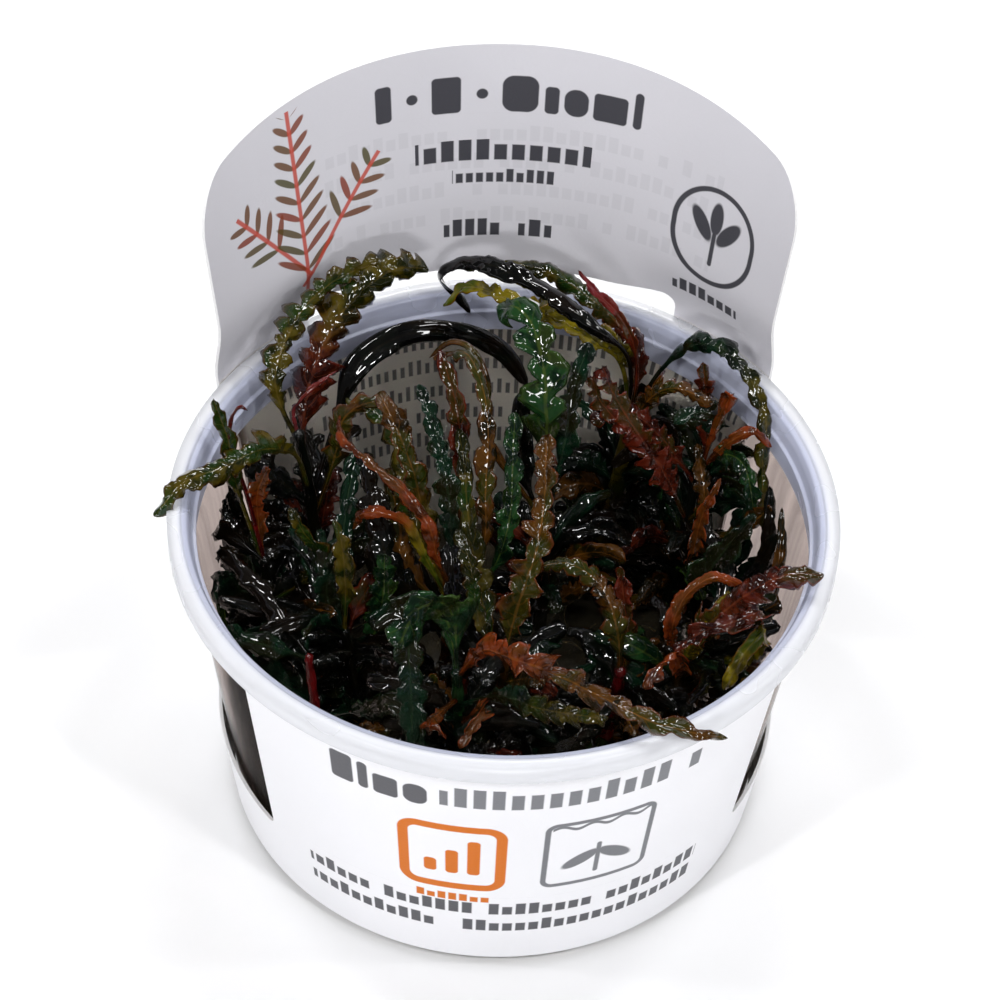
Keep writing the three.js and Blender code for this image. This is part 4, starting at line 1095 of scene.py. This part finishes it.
def sleeve_point(sleeve, angle, z, depth):
    """A spot of the flat pattern on the cup's cone, which bulges beside the slot to pass the rim."""
    away = abs(angle)
    side = ease_step((away - 22) / 13) if away <= TAB_HALF + 0.01 else 0
    bulge = side * ease_step((z - 46) / 7.8) * (1 - ease_step((z - 58) / 12))
    radius = sleeve.base_radius / MM + sleeve.slope * z + 2.3 * bulge + depth
    turn = math.radians(angle - SLEEVE_TURN)
    return radius * math.sin(turn), radius * math.cos(turn), z


def arc(cx, cy, rx, ry, start, end, steps=6):
    """Points on a corner's arc, both ends included."""
    turns = [math.radians(start + (end - start) * k / steps) for k in range(steps + 1)]
    return [(cx + rx * math.cos(a), cy + ry * math.sin(a)) for a in turns]


def line(start, end):
    """Points from start up to but without end, at about the outline's step."""
    count = max(1, round(math.dist(start, end) / OUTLINE_STEP))
    return [(start[0] + (end[0] - start[0]) * k / count, start[1] + (end[1] - start[1]) * k / count)
            for k in range(count)]


class PLANT_OT_sleeve(bpy.types.Operator):
    """Wrap the printed sleeve with its arched tab"""
    bl_idname = "plant.sleeve"
    bl_label = "Sleeve"

    def execute(self, context):
        sleeve = context.scene.plant_sleeve
        tab_height = sleeve.tab_height / MM
        rings = [self.without_repeats(self.outline(tab_height)), self.without_repeats(self.slot())]
        spots = [p for ring in rings for p in ring]
        edges, start = [], 0
        for ring in rings:
            edges += [(start + i, start + (i + 1) % len(ring)) for i in range(len(ring))]
            start += len(ring)
        inner = [(-178.5 + 2.5 * i, 2.5 + 2.5 * k) for i in range(144) for k in range(41)]
        inner = [p for p in inner if self.on_card(p, tab_height)]
        flat, _, triangles, *_ = geometry.delaunay_2d_cdt(
            [Vector(p) for p in spots + inner], edges, [], 0, 1e-5)
        flat = [tuple(v) for v in flat]
        triangles = [f for f in triangles if self.covers(
            tuple(np.mean([flat[i] for i in f], axis=0)), tab_height)]
        self.stitch(sleeve, flat, triangles)
        return {"FINISHED"}

    @staticmethod
    def outline(tab_height):
        """The edge of the flat pattern: the panels, the window on each side and the arched tab."""
        wide, high = WINDOW_CORNER
        half = (line((180, PANEL_TOP), (FRONT_EDGE + wide, PANEL_TOP))
                + arc(FRONT_EDGE + wide, PANEL_TOP - high, wide, high, 90, 180)
                + line((FRONT_EDGE, PANEL_TOP - 3), (FRONT_EDGE, BAND_TOP + 2))
                + arc(FRONT_EDGE - wide, BAND_TOP + high, wide, high, 0, -90)
                + line((FRONT_EDGE - 4, BAND_TOP), (TAB_HALF + wide, BAND_TOP))
                + arc(TAB_HALF + wide, BAND_TOP + high, wide, high, 270, 180)
                + line((TAB_HALF, BAND_TOP + 3), (TAB_HALF, tab_top(TAB_HALF, tab_height))))
        half += [(a, tab_top(a, tab_height)) for a in
                 [TAB_HALF - TAB_CORNER * (1 - math.cos(math.radians(b))) for b in range(0, 91, 9)]
                 + [48 - 2 * k for k in range(24)]]
        left = [(-a, z) for a, z in half]
        heights = [SLEEVE_FOOT + (PANEL_TOP - SLEEVE_FOOT) * k / 18 for k in range(1, 18)]
        return (half + [(0, tab_top(0, tab_height))] + left[::-1]
                + [(-180, z) for z in reversed(heights)]
                + [(-180 + OUTLINE_STEP * k, SLEEVE_FOOT) for k in range(180)] + [(180, SLEEVE_FOOT)]
                + [(180, z) for z in heights])

    @staticmethod
    def slot():
        """The edge of the slot in the tab's foot, through which the rim shows."""
        wide, high = SLOT_CORNER
        return (arc(SLOT_HALF - wide, SLOT_TOP - high, wide, high, 0, 90)
                + line((SLOT_HALF - 5, SLOT_TOP), (-SLOT_HALF + wide, SLOT_TOP))
                + arc(-SLOT_HALF + wide, SLOT_TOP - high, wide, high, 90, 180)
                + arc(-SLOT_HALF + wide, PANEL_TOP + high, wide, high, 180, 270)
                + line((-SLOT_HALF + 5, PANEL_TOP), (SLOT_HALF - wide, PANEL_TOP))
                + arc(SLOT_HALF - wide, PANEL_TOP + high, wide, high, 270, 360))

    @staticmethod
    def without_repeats(ring):
        """The ring without points that lie on the one before."""
        out = []
        for p in ring:
            if not out or math.dist(p, out[-1]) > 1e-3:
                out.append(p)
        return out

    @staticmethod
    def covers(spot, tab_height):
        """Whether a spot of the flat pattern is card."""
        angle, z = abs(spot[0]), spot[1]
        if z < BAND_TOP or angle > FRONT_EDGE:
            return z < PANEL_TOP
        if angle > TAB_HALF:
            wide, high = WINDOW_CORNER
            near = min(FRONT_EDGE - angle, angle - TAB_HALF) / wide
            return near < 1 and z < BAND_TOP + high * (1 - math.sqrt(max(0, 1 - (1 - near) ** 2))) + 0.02
        if PANEL_TOP < z < SLOT_TOP and angle < SLOT_HALF:
            wide, high = SLOT_CORNER
            dx = max(0, angle - (SLOT_HALF - wide)) / wide
            dz = max(0, abs(z - (PANEL_TOP + SLOT_TOP) / 2) - (SLOT_TOP - PANEL_TOP) / 2 + high) / high
            return math.hypot(dx, dz) > 0.985
        return z < tab_top(angle, tab_height) + 0.01

    @classmethod
    def on_card(cls, spot, tab_height):
        """True well inside the card, so that no inner point crowds an edge."""
        return all(cls.covers((spot[0] + dx, spot[1] + dz), tab_height)
                   for dx in (-1.2, 1.2) for dz in (-1.0, 1.0))

    @staticmethod
    def stitch(sleeve, flat, triangles):
        """Gives the flat pattern its cone, its thickness and its edges."""
        sheet = sleeve.sheet / MM
        count = len(flat)
        points = [sleeve_point(sleeve, a, z, depth) for depth in (0, sheet) for a, z in flat]
        uvs = [(a, z) for a, z in flat] * 2
        shape = Shape()
        inner = [tuple(f) for f in triangles]
        outer = [tuple(i + count for i in reversed(f)) for f in triangles]
        used = {}
        for f in triangles:
            for a, b in zip(f, (*f[1:], f[0])):
                used[(a, b)] = used.get((a, b), 0) + 1
        rims = [(b, a, a + count, b + count) for a, b in used
                if (b, a) not in used and not (abs(flat[a][0]) > 179.99 and abs(flat[b][0]) > 179.99)]
        shape.add(points, inner, uvs, 0)
        shape.add(points, outer, uvs, 1)
        shape.add(points, rims, uvs, 2)
        edge = Finish("card_edge")
        fibres = edge.noise(2500, 2)
        edge_card = edge.surface(
            base_color=edge.mix(fibres, (0.80, 0.79, 0.80), (0.92, 0.92, 0.93)), roughness=fibres * 0.2 + 0.6)
        piece = shape.build("printed_sleeve",
                            [inner_card_finish(sleeve), outer_card_finish(sleeve), edge_card], ("print",))
        clean_faces(piece)
        piece.data.set_sharp_from_angle(angle=math.radians(35))
        settle(piece, "sleeve_card", "label_sleeve")


class PLANT_OT_gel(bpy.types.Operator):
    """Pour the clear gel"""
    bl_idname = "plant.gel"
    bl_label = "Gel and roots"

    def execute(self, context):
        plant, cup = context.scene.plant_growth, context.scene.plant_cup
        top = plant.gel_top / MM

        def radius(z):
            return cup.base_radius / MM + cup.slope * z - cup.wall / MM - 0.3

        profile = rounded([(0, 1.65), (34.4, 1.65, 0.4), (35.2, 1.5, 0.4), (radius(1.5), 1.5, 1.4),
                           (radius(5), 5), (radius(top), top + 0.2, 0.5), (radius(top) - 1.6, top - 0.2, 1.0),
                           (30, top - 0.15), (20, top - 0.1), (10, top - 0.1), (0, top - 0.1)])
        points, faces, _ = lathe_part(profile, 96)
        for point in points:
            if point[2] > top - 0.6:
                point[2] += 0.15 * noise.noise(Vector(point) * 0.12)
        shape = Shape()
        shape.add(points, faces)
        piece = shape.build("set_gel", [gel_finish()])
        clean_faces(piece)
        settle(piece, "nutrient_gel", "gel")
        return {"FINISHED"}


def stem_point(stem, height):
    """The point on a stem's centre line at about the given height."""
    path = smooth_path(stem.path, 60)
    return path[np.argmin(np.abs(path[:, 2] - height))]


def inside_wall(point, room):
    """Draws a point back inside the cup's wall."""
    x, y, z = point
    limit = CUP_FOOT + CUP_SLOPE * z - CUP_WALL - room
    reach = math.hypot(x, y)
    if reach > limit and z < CUP_TOP:
        return x * limit / reach, y * limit / reach, z
    return x, y, z


def low_leaf_path(stem, index):
    """Opposite leaves in pairs, each pair a quarter turn on from the one below it."""
    pair = index // 2
    base = stem_point(stem, stem.low_from + 7 * pair)
    angle = math.radians(stem.low_turn + 180 * (index % 2) + 90 * pair)
    steps = [(0, 0), (0.35, 0.4), (0.7, 0.65), (1, 0.6)]
    return [inside_wall((base[0] + out * stem.low_length * math.cos(angle),
                         base[1] + out * stem.low_length * math.sin(angle),
                         base[2] + up * stem.low_length), 3.2) for out, up in steps]


class PLANT_OT_stems(bpy.types.Operator):
    """Grow the stems with their low leaves and fine roots"""
    bl_idname = "plant.stems"
    bl_label = "Stems"

    def execute(self, context):
        plant = context.scene.plant_growth
        roots = root_finish()
        for number, (name, stem) in enumerate(STEMS.items()):
            draw = random.Random(plant.seed * 100 + number)
            finishes = [stem_finish(stem.tone), *map(leaf_finish, TONES), roots]
            index_of = {tone: i + 1 for i, tone in enumerate(TONES)}
            shape = Shape()
            shape.add(*tube_part(stem.path, self.knotted(stem.radius)))
            # Low leaves mostly in the near-black dark tone, partly painted shade low in the cup
            grown = [Leaf("low", name, 0, 4.0, 4, 0.2, draw.choice(["dark", "teal", "dark", "dark", "brown"]),
                          low_leaf_path(stem, index), draw.uniform(-0.3, 0.4), draw.uniform(-20, 20))
                     for index in range(4)]
            grown += [leaf._replace(path=[tuple(stem_point(stem, leaf.at))] + leaf.path)
                      for leaf in SMALL_LEAVES if leaf.stem == name]
            fine = len(grown)
            grown += [self.extra_leaf(name, stem, draw) for _ in range(plant.extra)]
            if math.hypot(*stem.path[0][:2]) > 20:
                grown += [self.extra_leaf(name, stem, draw, True) for _ in range(plant.wall)]
            grown = [leaf for leaf in grown
                     if leaf.name != "extra" or not any(map(self.hides_red, leaf.path))]
            for index, leaf in enumerate(grown):
                blade = blade_part(leaf, leaf.path, plant.thickness / MM, number * 57 + index, index < fine)
                shape.add(*blade, finish=index_of[leaf.tone])
            for _ in range(ROOTS):
                shape.add(*self.root_part(stem, draw), finish=len(finishes) - 1)
            piece = shape.build("shoot_" + name, finishes)
            clean_faces(piece)
            settle(piece, "stem_" + stem.slot, "stem_" + name)
        return {"FINISHED"}

    @staticmethod
    def knotted(radius, knots=7):
        """A stem's radii from foot to tip, swollen at each knot."""
        radii = []
        for k in range(knots * 4 + 1):
            swell = 1 + 0.28 * math.exp(-((k % 4) / 1.1) ** 2) + 0.1 * math.exp(-((4 - k % 4) / 0.8) ** 2)
            radii.append(radius * swell * (1 - 0.2 * (k / (knots * 4)) ** 2) * 0.88)
        return radii

    @staticmethod
    def extra_leaf(name, stem, draw, outward=False):
        """A small arching leaf from a random height and side of the stem, or out to the wall."""
        base = stem_point(stem, draw.uniform(7, 38 if outward else 30))
        angle = draw.uniform(0, 2 * math.pi)
        length = draw.uniform(8, 15)
        droop = draw.uniform(0.3, 1.0)
        if outward:
            angle = math.atan2(base[1], base[0]) + draw.uniform(-1.1, 1.1)
            length = draw.uniform(12, 22)
        steps = [(0, 0), (0.3, 0.35), (0.65, 0.35 + 0.35 * droop), (1, 0.9 * droop)]
        bend = draw.uniform(-0.5, 0.5)
        path = [inside_wall((base[0] + out * length * math.cos(angle + bend * out),
                             base[1] + out * length * math.sin(angle + bend * out),
                             base[2] + up * min(length, 14)), 1.9 if outward else 2.4) for out, up in steps]
        # Mostly the near-black dark tone, partly painted shade for the crowded inside of the cup
        tone = draw.choice(["dark"] * 12 + ["teal"] * 4 + ["brown", "green", "red_brown"])
        return Leaf("extra", name, 0, draw.uniform(3.2, 5.2), draw.choice([2, 3, 3, 4]), 0.2, tone, path,
                    draw.uniform(-0.4, 0.4), draw.uniform(-40, 40), 0.12, draw.uniform(0.5, 0.8))

    @staticmethod
    def hides_red(point):
        """Whether a point lies in the gap through which the red stem shows."""
        x, y, z = point
        return -33 < x < -20 and y < -12 and z > 8

    @staticmethod
    def root_part(stem, draw):
        """A fine root that leaves the stem's foot and spreads in the gel."""
        x, y, z = stem.path[0]
        angle = draw.uniform(0, 2 * math.pi)
        path = [(x, y, z + 1.5)]
        for k in range(1, 5):
            angle += draw.uniform(-0.6, 0.6)
            x += 2.6 * math.cos(angle)
            y += 2.6 * math.sin(angle)
            path.append(inside_wall((x, y, max(2.1, z + draw.uniform(-0.6, 3.2))), 1.6))
        return tube_part(path, [0.22, 0.16, 0.1], 5, 16)


class PLANT_OT_leaves(bpy.types.Operator):
    """Grow the large lobed leaves"""
    bl_idname = "plant.leaves"
    bl_label = "Leaves"

    def execute(self, context):
        plant = context.scene.plant_growth
        for number, leaf in enumerate(LEAVES):
            base = tuple(stem_point(STEMS[leaf.stem], leaf.at))
            shape = Shape()
            shape.add(*blade_part(leaf, [base] + leaf.path, plant.thickness / MM, number + 3))
            piece = shape.build("blade_" + leaf.name, [leaf_finish(leaf.tone, leaf.tip)])
            clean_faces(piece)
            settle(piece, "leaf_" + leaf.tone, "leaf_" + leaf.name)
        return {"FINISHED"}


class PLANT_OT_stage(bpy.types.Operator):
    """Set the floor, the lamps and the camera"""
    bl_idname = "plant.stage"
    bl_label = "Stage"

    def execute(self, context):
        stage = context.scene.plant_stage
        self.floor(stage)
        self.lamps(context.scene, stage)
        self.camera(context.scene, stage)
        return {"FINISHED"}

    @staticmethod
    def floor(stage):
        finish = Finish("plain_floor")
        tint = finish.mix(finish.noise(3, 2) * 0.3, tuple(stage.floor), (0.95, 0.95, 0.95))
        material = finish.surface(base_color=tint, roughness=0.7, specular_ior_level=0.1)
        mesh = bpy.data.meshes.new("floor")
        corners = [(x * FLOOR_REACH, y * FLOOR_REACH, 0) for x, y in ((-1, -1), (1, -1), (1, 1), (-1, 1))]
        mesh.from_pydata(corners, [], [(0, 1, 2, 3)])
        mesh.materials.append(material)
        floor = bpy.data.objects.new("floor", mesh)
        bpy.context.scene.collection.objects.link(floor)

    @staticmethod
    def lamps(scene, stage):
        world = bpy.data.worlds.new("studio")
        world.use_nodes = True
        sky = world.node_tree.nodes["Background"]
        sky.inputs["Color"].default_value = (1.0, 1.0, 1.0, 1.0)
        sky.inputs["Strength"].default_value = stage.world
        scene.world = world
        for name, (place, size, power) in LAMPS.items():
            lamp = bpy.data.lights.new("softbox_" + name, "AREA")
            lamp.shape = "RECTANGLE"
            lamp.size, lamp.size_y = size
            lamp.energy = power
            holder = bpy.data.objects.new("softbox_" + name, lamp)
            holder.location = place
            holder.rotation_euler = (LAMP_AIM - Vector(place)).to_track_quat("-Z", "Y").to_euler()
            scene.collection.objects.link(holder)
        scene.view_settings.view_transform = "Standard"
        scene.view_settings.exposure = 0.0

    @staticmethod
    def camera(scene, stage):
        lens = bpy.data.cameras.new("camera")
        lens.lens = stage.lens
        lens.sensor_width = 36.0
        camera = bpy.data.objects.new("camera", lens)
        forward = Vector((0, math.cos(stage.elevation), -math.sin(stage.elevation)))
        level = Vector((1, 0, 0))
        above = level.cross(forward)
        right = level * math.cos(stage.roll) + above * math.sin(stage.roll)
        up = above * math.cos(stage.roll) - level * math.sin(stage.roll)
        turn = Matrix((right, up, -forward)).transposed().to_4x4()
        camera.matrix_world = Matrix.Translation(Vector(stage.target) - forward * stage.distance) @ turn
        scene.collection.objects.link(camera)
        scene.camera = camera


class PLANT_PT_panel(bpy.types.Panel):
    """Everything that makes the cup of plants"""
    bl_idname = "PLANT_PT_panel"
    bl_label = "Culture Cup Plant"
    bl_space_type = "VIEW_3D"
    bl_region_type = "UI"
    bl_category = "Plant"

    def draw(self, context):
        scene = context.scene
        for group in (scene.plant_cup, scene.plant_sleeve, scene.plant_growth, scene.plant_stage):
            box = self.layout.box()
            for name in group.bl_rna.properties.keys():
                if name not in ("rna_type", "name"):
                    box.prop(group, name)
        for operator in OPERATORS:
            self.layout.operator(operator.bl_idname)


GROUPS = {
    "plant_cup": CupSettings,
    "plant_sleeve": SleeveSettings,
    "plant_growth": PlantSettings,
    "plant_stage": StageSettings,
}
OPERATORS = (PLANT_OT_stage, PLANT_OT_cup, PLANT_OT_sleeve, PLANT_OT_gel, PLANT_OT_stems, PLANT_OT_leaves)
CLASSES = (*GROUPS.values(), *OPERATORS, PLANT_PT_panel)


def register():
    for cls in CLASSES:
        bpy.utils.register_class(cls)
    for name, group in GROUPS.items():
        setattr(bpy.types.Scene, name, PointerProperty(type=group))


def unregister():
    for name in GROUPS:
        delattr(bpy.types.Scene, name)
    for cls in reversed(CLASSES):
        bpy.utils.unregister_class(cls)


def main():
    """Builds the scene in order."""
    register()
    bpy.ops.plant.stage()
    bpy.ops.plant.cup()
    bpy.ops.plant.sleeve()
    bpy.ops.plant.gel()
    bpy.ops.plant.stems()
    bpy.ops.plant.leaves()


if __name__ == "__main__":
    main()
